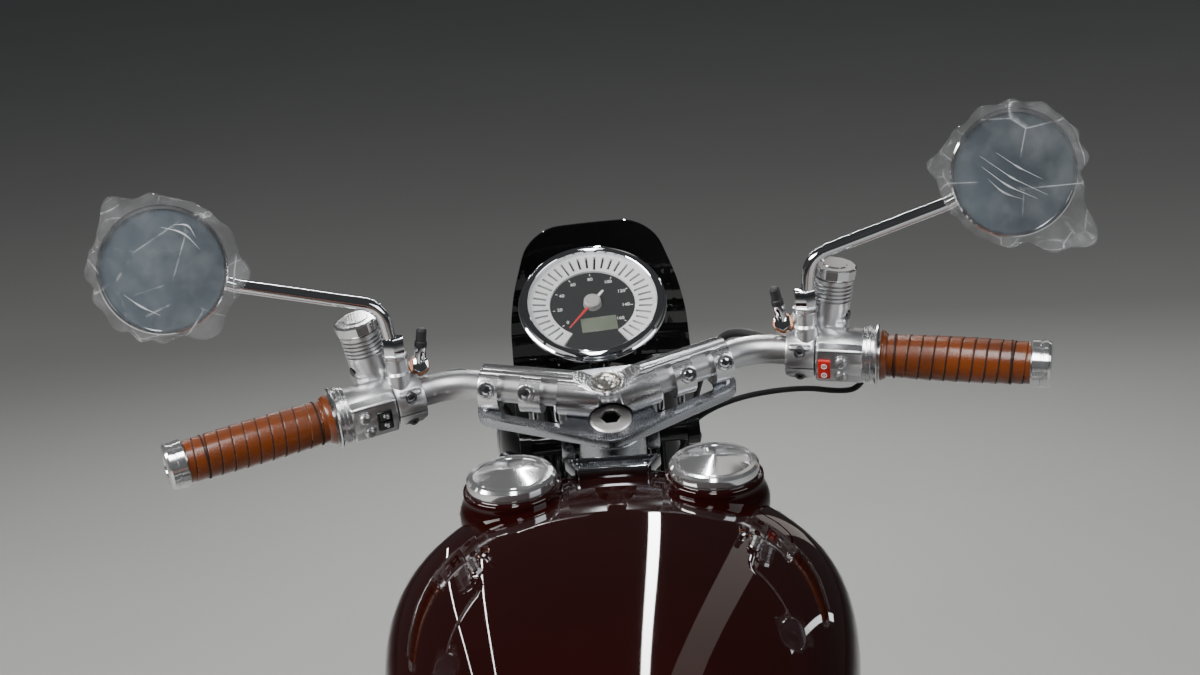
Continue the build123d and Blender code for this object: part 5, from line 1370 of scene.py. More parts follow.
@dataclass
class FuelTank:
    """Long tank with a round nose, twin filler necks and tucked flanks."""

    stations: tuple[tuple[float, ...], ...] = ((-38, 84, -32, -196, -92, 64), (-41, 96, -26.5, -206, -94, 74),
        (-85, 148, -28, -234, -100, 112), (-170, 168, -32, -247, -108, 138), (-300, 156, -48, -245, -128, 132),
        (-430, 128, -88, -228, -150, 112), (-545, 99, -139, -209, -176, 88), (-559, 90, -148, -203, -178, 82))
    corners: int = 40
    cap_place: Point = (-76, 72.7, -28)

    def section(self, x: float, half: float, top: float, bottom: float, shoulder: float, low: float) -> list[Point]:
        """One section's ring.

        Args:
            x: station behind the yoke's centre.
            half: half width at the shoulder.
            top: height of the crown.
            bottom: height of the flat floor.
            shoulder: height of the widest line.
            low: half width of the floor.

        Returns:
            The ring's points, from the left shoulder over the top.
        """
        ring = []
        for i in range(self.corners):
            angle = tau * i / self.corners
            c, s = cos(angle), sin(angle)
            power = 2 / 2.55
            across, height = abs(c) ** power, abs(s) ** power
            side = copysign(1, c)
            if s >= 0:
                ring.append((x, side * half * across, shoulder + (top - shoulder) * height))
            else:
                squared = abs(s) ** 0.62
                wide = half + (low - half) * squared
                ring.append((x, side * wide * abs(c) ** 0.38, shoulder + (bottom - shoulder) * squared))
        return ring

    def cap_frame(self, side: Side) -> Matrix:
        """The frame of one filler neck, Z out of the tank."""
        x, y, z = self.cap_place
        return facing((x, y * side.value, z), (-0.14, side.value * 0.03, 1), (1, 0, 0.14))

    def build(self) -> None:
        """Skin, necks, caps, front plate and seams."""
        skin = Form().loft([self.section(*s) for s in self.stations])
        tank = skin.piece("tank_skin", OXBLOOD, "fuel_tank", TANK, sharp_deg=180)
        modifier = tank.modifiers.new("smooth", "SUBSURF")
        modifier.levels = modifier.render_levels = 2
        necks = Form()
        for side in Side:
            necks.lathe([(31, 5.4), (34.6, 5.4), (35.6, 4.4), (35.8, 1), (36.4, -2.5), (38, -6.5), (40, -12),
                (40, -20), (31, -20)], self.cap_frame(side), steps=96, closed=True)
        necks.piece("filler_necks", OXBLOOD, mount=TANK, sharp_deg=50)
        caps = Form()
        for side in Side:
            caps.lathe([(0, 18.4), (1.5, 18.3), (12, 16.9), (25.2, 14.4), (26.2, 13.5), (26.9, 13.6), (27.4, 14.9),
                (30.4, 14.6), (32.3, 12.6), (32.5, 11.6), (32.5, 7.8), (31.6, 6.8), (31.6, 5.7), (0, 5.7)],
                self.cap_frame(side), steps=128)
        caps.piece("polished_caps", POLISHED, "filler_caps", TANK, sharp_deg=24)
        self.plate()

    def plate(self) -> None:
        """The polished strip across the tank's nose, with a raised rim and two screws."""
        spot = facing((-33, 0, -25), (-0.02, 0, 1), (1, 0, 0.02))
        form = Form()
        outline = [(0, -36), (0, 36), (-26, 27), (-26, -27)]
        form.prism(outline, -3, 5.4, spot, corner=3, edge=0.7)
        inner = [(-3.4, -31), (-3.4, 31), (-22.6, 24.2), (-22.6, -24.2)]
        form.carve(Form().prism(inner, 4, 20, spot, corner=2))
        for side in Side:
            form.lathe([(0, 5.6), (1.6, 5.5), (2.5, 4.9), (2.7, 3.8), (0, 3.8)], spot @ at(-13, side.value * 24.5, 0),
                steps=28)
        # The plate is polished; its darker chrome is painted shade.
        form.piece("nose_plate", SHADED_CHROME, "tank_plate", TANK, sharp_deg=24)


@dataclass
class SpokedWheel:
    """Wire wheel: treaded tyre, rolled rim, hub, laced spokes and drilled discs."""

    name: str
    body: Body
    tyre_r: float
    tyre_w: float
    hub_half: float
    disc_r: float
    disc_places: tuple[float, ...]
    disc_node: str
    bead_r: float = 229.0
    spokes: int = 32
    blocks: int = 54
    walls: tuple[tuple[float, float], ...] = ((0.72, 0.474), (0.55, 0.5), (0.38, 0.482), (0.24, 0.43), (0.15, 0.36),
        (0.12, 0.34), (0.01, 0.34))

    def fit(self, form: Form, name: str, finish: Finish, stands_for: str = "", slot: str = "") -> None:
        """Makes a form, drawn with Z along the axle, a piece of this wheel.

        Args:
            form: that is drawn.
            name: of the piece, without the wheel's.
            finish: what its surface is.
            stands_for: the CAD node that it replaces.
            slot: the record's material slot, if not its finish's own.
        """
        spin = joint(f"{self.name}_wheel_spin")
        axle = facing(spin["pos_m"], spin["axis"], (1, 0, 0)) @ Matrix.Scale(MM, 4)
        form.piece(f"{self.name}_{name}", finish, stands_for, Mount(self.body, axle), slot)

    def tyre(self) -> None:
        """Round-shouldered tyre with slanted tread blocks either side of a centre rib."""
        tall, half, rows = self.tyre_r - self.bead_r, self.tyre_w * 0.44, 32
        crown = [(self.tyre_r - 0.2 * tall * abs(1 - 2 * i / rows) ** 2.1, half * (2 * i / rows - 1))
            for i in range(rows + 1)]
        left = [(self.bead_r + tall * s, self.tyre_w * w) for s, w in self.walls]
        form = Form()
        for vert in form.lathe(crown + left + [(r, -w) for r, w in reversed(left)], steps=432, closed=True).bm.verts:
            radius, across = hypot(vert.co.x, vert.co.y), abs(vert.co.z) / half
            if radius < self.tyre_r - 0.19 * tall:
                continue
            turn = atan2(vert.co.y, vert.co.x) / tau * self.blocks
            slant = (turn + across * 1.4 + (0.5 if vert.co.z > 0 else 0)) % 1
            if 0.1 < across < 0.15 or (across > 0.2 and slant < 0.16):
                vert.co.x *= 1 - 2.6 / radius
                vert.co.y *= 1 - 2.6 / radius
        self.fit(form, "treaded_tyre", TYRE_RUBBER, f"{self.name}_tyre")

    def rim(self) -> None:
        """Rolled rim and flanged hub."""
        half, b, h = self.tyre_w * 0.34 + 4, self.bead_r, self.hub_half
        side = [(b - 15, 10), (b - 14, half - 15), (b - 9, half - 8), (b - 5, half - 3), (b + 2, half - 0.6),
            (b + 11, half), (b + 12.4, half - 1.2), (b + 12, half - 3.2), (b + 1, half - 4)]
        form = Form().lathe(side + [(r, -w) for r, w in reversed(side)], steps=144, closed=True)
        side = [(29, 0), (30, h - 14), (34, h - 8), (42.5, h - 6), (44, h - 5), (44, h - 1.5), (43, h - 0.5),
            (24, h - 1), (22, h), (12.6, h)]
        form.lathe(side + [(r, -w) for r, w in reversed(side[1:])], steps=72, closed=True)
        self.fit(form, "rim_and_hub", CHROME, f"{self.name}_wire_wheel", "wheel_alloy")

    def lacing(self) -> None:
        """Crossed spokes with their elbows and nipples."""
        wires, nipples = Form(), Form()
        for i in range(self.spokes):
            side = 1 if i % 2 else -1
            rim_angle = tau * i / self.spokes
            hub_angle = rim_angle + radians(34 if (i // 2) % 2 else -34)
            start, end = polar(38, hub_angle, side * (self.hub_half - 3)), polar(215, rim_angle, side * 4)
            run = end - start
            wires.rod(2.1, run.length, facing(start, run), sides=8)
            wires.rod(3.6, 4, facing(start + Vector((0, 0, side * 2)), (0, 0, side)), sides=8)
            nipples.rod(2.6, 14, facing(end - run.normalized() * 13, run), 3.6, 8)
        self.fit(wires, "spokes", STEEL)
        self.fit(nipples, "nipples", NICKEL)

    def discs(self) -> None:
        """Drilled discs on black carriers with floating buttons."""
        plate, holes, carrier, buttons = Form(), Form(), Form(), Form()
        inner = self.disc_r - 34
        for place in self.disc_places:
            plate.lathe([(inner, place - 2.5), (self.disc_r - 0.6, place - 2.5), (self.disc_r, place - 1.9),
                (self.disc_r, place + 1.9), (self.disc_r - 0.6, place + 2.5), (inner, place + 2.5)], steps=120,
                closed=True)
            for i in range(72):
                angle, radius = tau * i / 72, inner + 8 + 9 * (i % 3)
                holes.rod(3.4, 8, Matrix.Translation(polar(radius, angle, place - 4)), sides=12)
            near, far = sorted((copysign(self.hub_half, place), place - copysign(2, place)))
            carrier.lathe([(21, near), (32, near), (32, far), (21, far)], closed=True)
            carrier.lathe([(21, place - 2.4), (46.5, place - 2.4), (46.5, place + 2.4), (21, place + 2.4)],
                closed=True)
            for i in range(6):
                arm = turned(tau * i / 6)
                carrier.prism([(40, -13), (inner + 4, -6), (inner + 4, 6), (40, 13)], place - 2, place + 2, arm, 2,
                    0.5)
                buttons.rod(6.5, 7, arm @ at(inner + 3, 0, place - 3.5), bevel=0.8, sides=24)
                out = at(38, 0, place) @ facing((0, 0, 0), (0, 0, place), (1, 0, 0))
                buttons.bolts([turned(0.4) @ arm @ out @ at(0, 0, 2.4)], 4.5, 4)
        self.fit(plate.carve(holes), "drilled_discs", DISC_STEEL, self.disc_node)
        self.fit(carrier, "disc_carriers", BLACK_LACQUER)
        self.fit(buttons, "disc_buttons", SATIN)

    def build(self) -> None:
        """Makes the whole wheel."""
        self.tyre()
        self.rim()
        self.lacing()
        self.discs()


@dataclass
class Calipers:
    """Brake calipers astride their discs, with piston caps, bridge screws and a stay."""

    pad: Point = (48.0, 13.0, 78.0)

    def clasp(self, name: str, centre: Point, disc_r: float, angle_deg: float, stay: Sequence[Point], mount: Mount,
            stands_for: str, both: bool) -> None:
        """One caliper, or one and its mirror image.

        Args:
            name: of the piece.
            centre: where the disc's middle is.
            disc_r: the disc's radius.
            angle_deg: above straight ahead.
            stay: the two ends of the bar that holds it.
            mount: what holds it.
            stands_for: the CAD node.
            both: mirrors it to the other side.
        """
        angle = radians(angle_deg)
        out = Vector((cos(angle), 0, sin(angle)))
        place = facing(Vector(centre) + out * (disc_r - 12), (-sin(angle), 0, cos(angle)), out)
        form, caps = Form(), Form()
        for side in Side:
            form.block(self.pad, place @ at(0, side.value * 11.5, 0), 5, 3)
            for z in (-17, 17):
                face = place @ at(-3, side.value * 17, z) @ facing((0, 0, 0), (0, side.value, 0))
                caps.lathe([(14, 0), (14, 3), (12, 4.4), (10.5, 4.4), (10, 3.4), (0, 3.4), (0, 0)], face, steps=36)
                caps.bolts([face @ at(0, 0, 3.4)], 4, 2)
        form.block((11, 34, 74), place @ at(19, 0, 0), 4, 3)
        caps.bolts([place @ at(24, y, z) @ OUT for y in (-9, 9) for z in (-27, 27)], 4.5, 4)
        start, end = (Vector(p) for p in stay)
        form.rod(7, (end - start).length, facing(start, end - start), bevel=1)
        if both:
            form.mirrored()
            caps.mirrored()
        form.piece(name, BLACK_CAST, stands_for, mount)
        caps.piece(f"{name}_pistons", SATIN, mount=mount)

    def build(self) -> None:
        """Front pair and rear one."""
        self.clasp("front_caliper_pair", (42.35, 48, -765.4), 150, 122, ((-17.7, 58, -657.4), (56.4, 82, -641.4)),
            STEERED, "front_calipers", True)
        self.clasp("rear_caliper_body", (-710, -66, 343), 120, 62, ((-658, -78, 427), (-638, -118, 357)), CHASSIS,
            "rear_caliper", False)


@dataclass
class Springs:
    """Fork spring and rear shocks: coils over dampers, with seats and eyes."""

    def unit(self, name: str, top: Point, low: Point, coil: tuple[float, float, float, float], turns: float,
            mount: Mount, stands_for: str, both: bool) -> None:
        """One spring and damper, or a pair.

        Args:
            name: of the pieces.
            top: middle of its upper eye.
            low: middle of its lower eye.
            coil: start and end along it, outer radius and wire radius.
            turns: of the coil.
            mount: what holds it.
            stands_for: the CAD node.
            both: mirrors it to the other side.
        """
        start, end, radius, wire = coil
        run = Vector(low) - Vector(top)
        length, place = run.length, facing(top, run, (0, 1, 0))
        spring, damper, metal = Form(), Form(), Form()
        spring.coil(place, radius - wire, wire, start, end, turns)
        damper.lathe([(0, start - 18), (12, start - 18), (15, start - 14), (15, start - 7), (radius + 0.6, start - 5),
            (radius + 0.6, start - 1), (15, start), (15, start + 26), (11, start + 28), (11, start + 30),
            (0, start + 30)], place)
        damper.lathe([(0, end - 60), (13, end - 60), (14, end - 56), (14, end - 4), (radius - 3, end - 2),
            (radius + 0.6, end + 1), (radius + 0.6, end + 4), (radius - 2, end + 6), (radius - 2, end + 9),
            (radius + 0.6, end + 11), (radius + 0.6, end + 14), (16, end + 17), (16, length - 22), (11, length - 16),
            (0, length - 16)], place)
        metal.rod(6, end - start + 20, place @ at(0, 0, start - 10))
        for eye in (0, length):
            across = place @ at(0, 0, eye) @ facing((-11, 0, 0), (1, 0, 0))
            metal.lathe([(6.3, 0), (14, 0), (15.6, 1.6), (15.6, 20.4), (14, 22), (6.3, 22)], across, closed=True)
        metal.rod(9.5, start - 26, place @ at(0, 0, 12), bevel=1)
        metal.rod(9.5, 14, place @ at(0, 0, length - 24), bevel=1)
        for form in (spring, damper, metal):
            if both:
                form.mirrored()
        spring.piece(f"{name}_coil", CHROME, stands_for, mount)
        damper.piece(f"{name}_damper", BLACK_LACQUER, mount=mount)
        metal.piece(f"{name}_rod_and_eyes", POLISHED, mount=mount)

    def build(self) -> None:
        """Front spring and both shocks."""
        self.unit("fork_spring", (60, 0, -30), (96, 0, -252), (36, 185, 26, 4), 8, STEERED, "fork_spring", False)
        self.unit("shock", (-520, 130, 802), (-610, 150, 386), (64, 314, 25, 4.2), 11, CHASSIS, "rear_shocks", True)


@dataclass
class HeadLamp:
    """Deep lamp shell with a plated rim, reflector, bulb and fluted glass."""

    centre: Point = (314, 0, -108)

    def build(self) -> None:
        """Makes the lamp."""
        place = facing(level(*self.centre), level(1, 0, 0), (0, 1, 0))
        Form().lathe([(0, -118), (14, -117.4), (30, -114), (46, -105), (60, -92), (71, -75), (78, -56), (83, -33),
            (84.6, -14), (84.6, -4), (82, -4), (80, -32), (72, -60), (56, -86), (28, -108), (0, -113)], place,
            steps=96).piece("lamp_shell", BLACK_LACQUER, "headlamp_shell")
        rim = Form().lathe([(79, -7), (85.2, -7), (86.6, -4.5), (86.8, -1), (85.6, 2.4), (83, 4.6), (80.6, 4.6),
            (79, 2.6)], place, steps=128, closed=True)
        rim.lathe([(80, -4), (75, -14), (64, -32), (48, -48), (30, -58), (14, -62), (0, -62)], place, steps=96)
        rim.lathe([(0, -26), (6, -27), (9, -31), (9, -38), (12, -42), (12, -61), (0, -61)], place, steps=32)
        rim.piece("lamp_rim_and_reflector", CHROME)
        glass = Form().lathe([(0, 10), (24, 9.4), (46, 7.6), (64, 4.8), (76, 1.6), (80, -0.5), (80, -3.5), (74, -1.4),
            (62, 1.8), (44, 4.8), (24, 6.6), (0, 7.2)], place, steps=96)
        for i in range(-7, 8):
            span = sqrt(76 ** 2 - (i * 10) ** 2)
            bow = 7.4 * (1 - (i / 8.2) ** 2) - 4
            glass.rod(2.6, span * 2, place @ facing((i * 10, -span, bow), (0, 1, 0)), sides=8)
        glass.piece("lamp_glass", LENS_GLASS, "headlamp_lens")


@dataclass
class Engine:
    """V-twin with finned barrels and heads, rocker covers, plugs and side covers."""

    crank: Point = (20, 0, 362)
    lean_deg: float = 37.5
    fins: int = 9
    fin_half: float = 78.0

    def cylinder(self, sign: int) -> Matrix:
        """The frame of the front (1) or rear (-1) cylinder at the crank, Z along it."""
        lean = radians(self.lean_deg) * sign
        return facing(self.crank, (sin(lean), 0, cos(lean)), (cos(lean), 0, -sin(lean)))

    def slab(self, form: Form, half_x: float, half_y: float, low: float, high: float, place: Matrix,
            corner: float) -> None:
        """Adds a fin or a cover with round corners."""
        form.prism([(-half_x, -half_y), (half_x, -half_y), (half_x, half_y), (-half_x, half_y)], low, high, place,
            corner, 0.8)

    def cylinders(self) -> None:
        """Barrels, heads and rocker covers with their fins, screws and plugs, and black cores painted as shade
        between the fins.
        """
        barrels, heads, covers, screws, plugs, fin_shade = (Form() for _ in range(6))
        for sign in (1, -1):
            place = self.cylinder(sign)
            # Black cores inside the fins: painted shade in the gaps between them; the barrels themselves are cast.
            fin_shade.rod(57, 120, place @ at(0, 0, 105), sides=56)
            fin_shade.block((106, 118, 50), place @ at(0, 0, 249), 10, 3)
            for i in range(self.fins):
                low = 117 + i * 12.1
                self.slab(barrels, self.fin_half - 0.4, self.fin_half - 0.4, low, low + 3, place, 24)
            for i in range(4):
                self.slab(heads, 68, 75, 227 + i * 11.4, 230.4 + i * 11.4, place, 20)
            self.slab(covers, 62, 69, 269, 283, place, 16)
            covers.block((112, 126, 34), place @ at(0, 0, 300), 15, 5)
            for x in (-30, 0, 30):
                covers.block((8, 84, 4), place @ at(x, 0, 317), 1.6, 2)
            screws.bolts([place @ at(x, y, 283) for x in (-57, 57) for y in (-52, -18, 18, 52)], 4.6, 6)
            port = place @ at(-8, 62, 250) @ facing((0, 0, 0), (0, 1, 0.55), (1, 0, 0))
            screws.rod(10.5, 12, port, sides=6, bevel=0.8)
            plugs.lathe([(0, 46), (6, 45), (9, 41), (9.5, 22), (11, 20), (11, 13), (8, 10), (0, 10)], port, steps=28)
            plugs.sweep(rounded([port @ Vector((0, 0, 40)), port @ Vector((0, 0, 70)), Vector((20, 74, 706)),
                Vector((14, 40, 744))], 26), 3.5, 10)
        barrels.piece("finned_barrels", ENGINE_CAST, "cylinders", CHASSIS)
        # The cores' black casting is painted shade between the fins.
        fin_shade.piece("barrel_fin_shade", BLACK_CAST, mount=CHASSIS, slot="engine_metal")
        heads.piece("finned_heads", ENGINE_CAST, "cylinder_heads", CHASSIS)
        covers.piece("rocker_covers", SATIN, mount=CHASSIS, slot="engine_metal")
        screws.piece("head_screws", CHROME, mount=CHASSIS)
        plugs.piece("plug_caps", RUBBER, mount=CHASSIS)

    def covers(self) -> None:
        """Turned side covers, each with a ring of screws and a filler or sight plug."""
        for name, node, centre, out, radius, deep in (("clutch_side", "clutch_cover", (-50, -68, 358), -1, 88, 50),
                ("generator_side", "generator_cover", (40, 74, 354), 1, 78, 36)):
            place = facing(centre, (0, out, 0), (1, 0, 0))
            form, screws = Form(), Form()
            form.lathe([(0, 0), (radius - 10, 0), (radius - 10, 11), (radius, 12), (radius, deep - 27),
                (radius - 2, deep - 25), (radius - 13, deep - 25), (radius - 15, deep - 22), (radius - 17, deep - 8),
                (radius - 22, deep - 4), (radius - 34, deep - 2.6), (radius - 36, deep - 4.2),
                (radius - 39, deep - 4.2), (radius - 41, deep - 1.6), (18, deep - 0.4), (0, deep)], place, steps=96)
            rim = [place @ turned(tau * i / 9, radius - 7.4, deep - 25) for i in range(9)]
            screws.bolts(rim, 4.8, 6)
            plug = place @ turned(2.3, radius - 30, deep - 5)
            screws.lathe([(0, 7), (7, 7), (8, 6), (11, 5.4), (12, 4), (12, 0), (0, 0)], plug, steps=32)
            form.piece(f"{name}_cover", POLISHED, node, CHASSIS)
            screws.piece(f"{name}_screws", DARK_STEEL, mount=CHASSIS)

    def exhausts(self) -> None:
        """Port flanges with their nuts, and clamps where the silencers start."""
        form = Form()
        for start, ahead in (((228, -20, 552), (80, -8, -62)), ((-160, -56, 562), (-5, -72, -6))):
            place = facing(start, ahead)
            form.lathe([(19.2, 0), (30, 0), (31, 1), (31, 6), (28, 8), (24, 9), (22, 14), (19.2, 14)], place,
                closed=True)
            form.bolts([place @ turned(a, 27, 6) for a in (0, pi)], 4.6, 8)
        for start, ahead in (((-152, -150, 250), (-409, -34, 50)), ((-302, -184, 385), (-310, -34, 75))):
            place = facing(start, ahead)
            form.lathe([(21, -12), (23.6, -12), (24.2, -11), (24.2, 1), (23.6, 2), (21, 2)], place, closed=True)
            form.block((14, 10, 12), place @ at(0, 27, -5), 1.5)
            form.bolts([place @ facing((7, 27, -5), (1, 0, 0))], 4, 4)
        form.piece("exhaust_flanges", SATIN, mount=CHASSIS, slot="polished_steel")

    def build(self) -> None:
        """Makes the engine's dress."""
        self.cylinders()
        self.covers()
        self.exhausts()


@dataclass
class DriveChain:
    """Roller chain, link by link round both sprockets."""

    rear: Point = (-710.0, 343.0, 102.0)
    front: Point = (-165.0, 398.0, 44.0)
    lane: float = 88.0
    pitch: float = 15.875

    def loop(self) -> list[Vector]:
        """Pin places round the loop, a pitch apart."""
        (x1, z1, r1), (x2, z2, r2) = self.rear, self.front
        span, tilt = hypot(x2 - x1, z2 - z1), atan2(z2 - z1, x2 - x1)
        lean = acos((r1 - r2) / span)
        fine = []
        for x, z, r, start, end in ((x1, z1, r1, tilt + lean, tilt + tau - lean),
                (x2, z2, r2, tilt - lean, tilt + lean)):
            for i in range(121):
                angle = start + (end - start) * i / 120
                fine.append(Vector((x + r * cos(angle), self.lane, z + r * sin(angle))))
        fine.append(fine[0])
        steps = [(b - a).length for a, b in zip(fine, fine[1:])]
        count = 2 * round(sum(steps) / self.pitch / 2)
        pins, travelled, index = [], 0, 0
        for i in range(count):
            target = sum(steps) * i / count
            while travelled + steps[index] < target:
                travelled += steps[index]
                index += 1
            pins.append(fine[index].lerp(fine[index + 1], (target - travelled) / steps[index]))
        return pins

    def build(self) -> None:
        """Side plates, inner and outer by turns, and rollers."""
        pins = self.loop()
        plates, rollers = Form(), Form()
        for i, (a, b) in enumerate(zip(pins, pins[1:] + pins[:1])):
            place = facing((a + b) / 2, b - a, (0, 1, 0))
            gap = 6.4 if i % 2 else 4.4
            for side in Side:
                plates.block((1.7, 11.5, self.pitch + 8.5), place @ at(side.value * gap, 0, 0), 3.2, 1)
            rollers.rod(4.9, 8.6, facing(a - Vector((0, 4.3, 0)), (0, 1, 0)), sides=10)
            rollers.rod(2.5, 16, facing(a - Vector((0, 8, 0)), (0, 1, 0)), sides=8)
        plates.piece("chain_plates", DARK_STEEL, "chain", CHASSIS)
        rollers.piece("chain_rollers", STEEL, mount=CHASSIS)


@dataclass
class Seat:
    """Padded single seat with sewn channels and piping, and the tail lamp behind it."""

    front: float = -164.0
    rear: float = -650.0
    widths: tuple[tuple[float, float], ...] = ((-164.0, 82.0), (-334.0, 116.0), (-650.0, 104.0))
    heights: tuple[tuple[float, float], ...] = ((-164.0, 44.0), (-200.0, 50.0), (-324.0, 55.0), (-540.0, 55.0),
        (-650.0, 77.0))
    channel: float = 31.0
    border: float = 17.0
    slack: float = 3.5
    swell: float = 0.0075

    @staticmethod
    def read(table: Sequence[tuple[float, float]], x: float) -> float:
        """The value at a place in a table of (place, value) from front to rear."""
        for (a, low), (b, high) in zip(table, table[1:]):
            if x >= b:
                return low + (high - low) * (a - x) / (a - b)
        return table[-1][1]

    @staticmethod
    def floor(x: float) -> float:
        """Height of the cushion's underside over the pan."""
        return 806.2 + 0.0647 * (-300 - x)

    def ring(self, x: float, inset: float) -> list[Point]:
        """One section of the cushion, drawn in by an inset."""
        half = self.read(self.widths, x) - self.slack - inset
        low, tall = self.floor(x), self.read(self.heights, x) - 5.3 - self.slack - inset * 0.8
        ring = []
        for i in range(48):
            angle = tau * i / 48
            c, s = cos(angle), sin(angle)
            y = copysign(half * abs(c) ** 0.42, c)
            z = low + tall * (0.5 + 0.5 * copysign(abs(s) ** (0.55 if s > 0 else 0.2), s))
            ring.append((x, y, z))
        return ring

    def cushion(self) -> None:
        """Foam form, swelled as cloth under pressure, then sewn."""
        span = self.front - self.rear - 2 * self.slack
        shares = (0, 0.008, 0.03, 0.08, 0.2, 0.35, 0.5, 0.65, 0.8, 0.92, 0.975, 0.993, 1)
        insets = (14, 7, 2.5, 0.5, 0, 0, 0, 0, 0, 0.5, 2.5, 7, 14)
        foam = Form().loft([self.ring(self.front - self.slack - span * s, i) for s, i in zip(shares, insets)])
        pad = foam.piece("seat_cushion", SADDLE, "seat", CHASSIS, sharp_deg=180)
        self.apply(pad, "REMESH", mode="VOXEL", voxel_size=0.005)
        self.puff(pad)
        self.apply(pad, "SUBSURF", levels=1, render_levels=1)
        self.sew(pad)

    def apply(self, pad: bpy.types.Object, kind: str, **settings: object) -> None:
        """Adds one modifier and keeps its result."""
        modifier = pad.modifiers.new("work", kind)
        for name, value in settings.items():
            setattr(modifier, name, value)
        self.keep(pad)

    def keep(self, pad: bpy.types.Object) -> None:
        """Makes the evaluated mesh the pad's own."""
        mesh = evaluated(pad)
        pad.modifiers.clear()
        pad.data = mesh
        mesh.shade_smooth()
        if not mesh.materials:
            mesh.materials.append(SADDLE.material())

    def puff(self, pad: bpy.types.Object) -> None:
        """Blows the pad up as cloth, no point further than the swell allows."""
        before = [v.co.copy() for v in pad.data.vertices]
        cloth = pad.modifiers.new("cloth", "CLOTH")
        cloth.settings.use_pressure = True
        cloth.settings.uniform_pressure_force = 4
        cloth.settings.effector_weights.gravity = 0
        cloth.point_cache.frame_end = 20
        scene = bpy.context.scene
        for step in range(1, 21):
            scene.frame_set(step)
        self.keep(pad)
        scene.frame_set(1)
        for vert, old in zip(pad.data.vertices, before):
            move = vert.co - old
            if move.length > self.swell:
                vert.co = old + move * (self.swell / move.length)

    def sew(self, pad: bpy.types.Object) -> None:
        """Presses cross channels and a border seam into the top."""
        back = LAYOUT_AXES.inverted()
        for vert in pad.data.vertices:
            place = back @ vert.co
            top = self.floor(place.x) + self.read(self.heights, place.x) - 5.3
            if place.z < top - 26:
                continue
            half = self.read(self.widths, place.x) - self.border
            inside = min(half - abs(place.y), self.front - self.border - place.x, place.x - self.rear - self.border)
            seam = exp(-(inside / 1.7) ** 2) * 2.6
            if inside > 0:
                off = (place.x + self.channel / 2) % self.channel - self.channel / 2
                seam += (4.6 * exp(-abs(off) / 3.2) - 1.2 * cos(tau * off / self.channel)) * min(1, inside / 6)
            vert.co.z -= seam * MM

    def trim(self) -> None:
        """Piping round the foot of the cushion, and stitches along the border."""
        piping, thread = Form(), Form()
        line = []
        for side, order in ((1, range(0, 33)), (-1, range(32, -1, -1))):
            for i in order:
                x = self.front - 3 + (self.rear - self.front + 6) * i / 32
                line.append(Vector((x, side * (self.read(self.widths, x) + 0.5), self.floor(x) + 1.5)))
        line.append(line[0])
        piping.sweep(line, 3, 12)
        piping.piece("seat_piping", DARK_HIDE, mount=CHASSIS)
        for side in Side:
            for i in range(88):
                x = self.front - self.border - 8 - i * 4.9
                y = side.value * (self.read(self.widths, x) - self.border + 3.4)
                z = self.floor(x) + self.read(self.heights, x) - 5.9
                thread.rod(0.55, 3.2, facing((x, y, z), (-1, 0, 0.06)), sides=5)
        thread.piece("seat_stitches", THREAD, mount=CHASSIS)

    def tail(self) -> None:
        """Ribbed red lens in a plated ring."""
        place = facing((-799, 0, 845.4), (-1, 0, 0))
        lens, ring = Form(), Form()
        lens.lathe([(0, 17), (3, 17), (4, 16.2), (6, 16.8), (7.5, 15.8), (9.5, 16.2), (11, 14.8), (13, 14), (15, 11),
            (15.4, 2), (0, 2)], place, steps=64)
        ring.lathe([(15.6, 0), (18.4, 0), (19, 2), (18.6, 6), (17, 7.6), (15.6, 7.6)], place, steps=64, closed=True)
        lens.piece("tail_lens", TAIL_RED, "tail_lamp", CHASSIS)
        ring.piece("tail_ring", CHROME, mount=CHASSIS)

    def build(self) -> None:
        """Cushion, trim and tail lamp."""
        self.cushion()
        self.trim()
        self.tail()


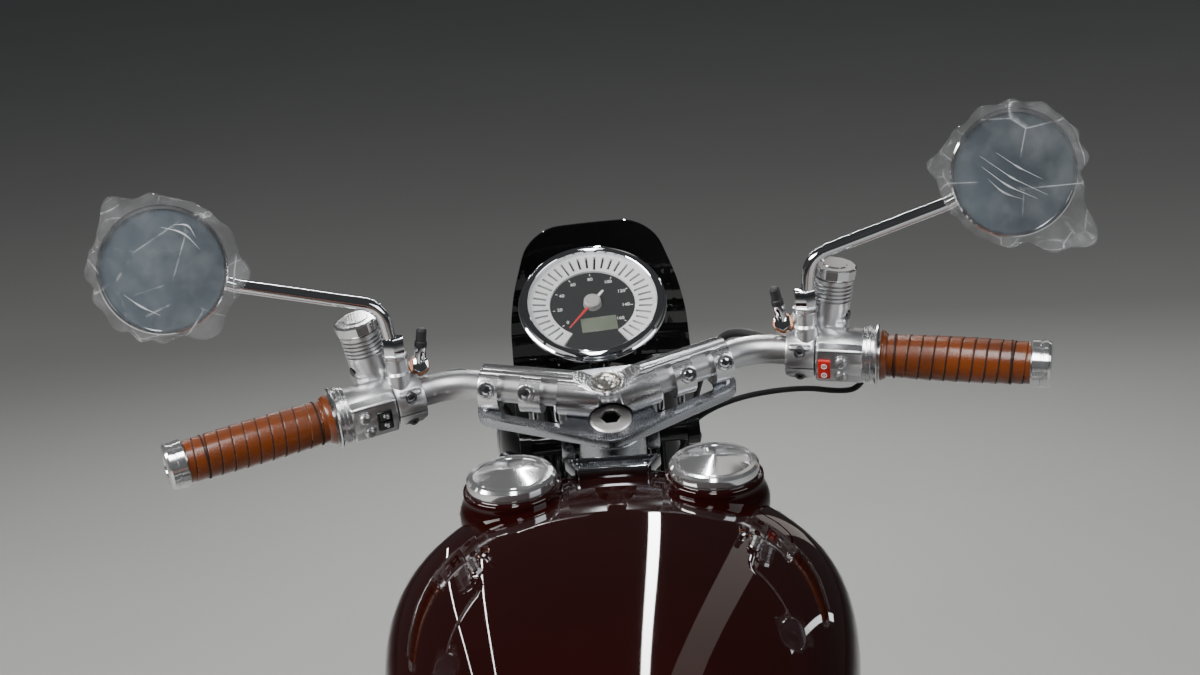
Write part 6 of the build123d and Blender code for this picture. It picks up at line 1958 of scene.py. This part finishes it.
@dataclass
class SmallParts:
    """Peg rubbers, battery straps and the cables on the bars."""

    def rubbers(self) -> None:
        """Ribbed sleeves on both pegs and the gear toe, and straps round the battery box."""
        form = Form()
        ribs = [(8, 0)]
        for i in range(9):
            ribs += [(13, i * 6.4), (13, i * 6.4 + 4), (11.6, i * 6.4 + 4.6), (11.6, i * 6.4 + 6.2)]
        form.lathe(ribs + [(8, 58)], facing((-332, 165, 334), (0, 1, 0)), steps=40)
        form.mirrored()
        form.lathe([(0, 0), (9.6, 0), (10.2, 2), (10.2, 26), (9, 28), (0, 28)], facing((-180, 160, 352), (0, 1, 0)))
        for x in (-350, -408):
            form.block((18, 157, 143.5), at(x, 0, 722), 14, 4)
        form.piece("rubber_sleeves_and_straps", RUBBER, mount=CHASSIS)

    def cable(self, name: str, points: Sequence[Point], diameter: float) -> None:
        """A black cable through its route's points, held at both ends.

        Args:
            name: of the piece.
            points: of its route, on the yoke's axes.
            diameter: in metres.
        """
        curve = bpy.data.curves.new(name, "CURVE")
        curve.dimensions = "3D"
        spline = curve.splines.new("NURBS")
        spline.points.add(len(points) - 1)
        for knot, point in zip(spline.points, points):
            knot.co = (*(YOKE_AXES @ Vector(point)), 1)
        spline.order_u = 3
        spline.use_endpoint_u = True
        cable = linked(name, curve)
        line = evaluated(cable)
        curve.bevel_depth, curve.bevel_resolution, curve.use_fill_caps = diameter / 2, 4, True
        curve.materials.append(RUBBER.material())
        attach(cable, Body.STEERING.value)

    def build(self) -> None:
        """Sleeves, straps and cables."""
        self.rubbers()
        self.cable("switch_cable", ((24, -196, -8), (30, -193, -26), (34, -177, -30), (37, -150, -24),
            (46, -104, -33), (48, -68, -50), (46, -58, -70), (34, -40, -120), (18, -12, -180)), 0.0045)
        self.cable("brake_hose", ((40, -126, 22), (62, -112, 18), (104, -92, -20), (126, -70, -110), (124, -64, -250),
            (112, -84, -390), (74, -106, -520), (10, -100, -610), (-24, -66, -640)), 0.0065)
        self.cable("clutch_hose", ((40, 126, 22), (62, 112, 14), (92, 88, -30), (84, 58, -100), (50, 34, -160),
            (18, 12, -200)), 0.0065)


@dataclass
class Dressing:
    """Finishes for the CAD nodes that stay as they are."""

    nodes: tuple[tuple[Finish, str], ...] = ((DARK_STEEL, "steering_stem"),
        (FRAME_BLACK, "lamp_brackets girder_fork fork_links centre_stand frame swingarm seat_pan"),
        (STEEL, "front_axle rear_sprocket rear_axle"), (OXBLOOD, "front_mudguard tail_cowl"),
        (SATIN, "paddock_bobbins rearsets"), (ENGINE_CAST, "crankcase"), (STAINLESS, "exhaust_pipes silencers"),
        (POLISHED, "air_filter"), (BLACK_CAST, "battery_box"))

    def build(self) -> None:
        """Gives each remaining node its finish."""
        for finish, names in self.nodes:
            for name in names.split():
                mesh = frame["nodes"][name].data
                mesh.materials.clear()
                mesh.materials.append(finish.material())


def main() -> None:
    """Builds every sub-assembly in order and reports it."""
    logging.basicConfig(level=logging.INFO, format="%(name)s: %(message)s")
    front = SpokedWheel("front", Body.FRONT_WHEEL, 318, 108, 34, 150, (48, -48), "front_discs")
    rear = SpokedWheel("rear", Body.REAR_WHEEL, 325, 140, 40, 120, (-66,), "rear_disc")
    for part in (PhotoCamera(), SmallParts(), Studio(), Dressing(), TopYoke(), Handlebars(), Controls(), Mirrors(),
            Gauge(), Flyscreen(), HeadLamp(), FuelTank(), front, rear, Calipers(), Springs(), Engine(), DriveChain(),
            Seat()):
        part.build()
        log.info("%s made", type(part).__name__)


if __name__ == "__main__":
    main()
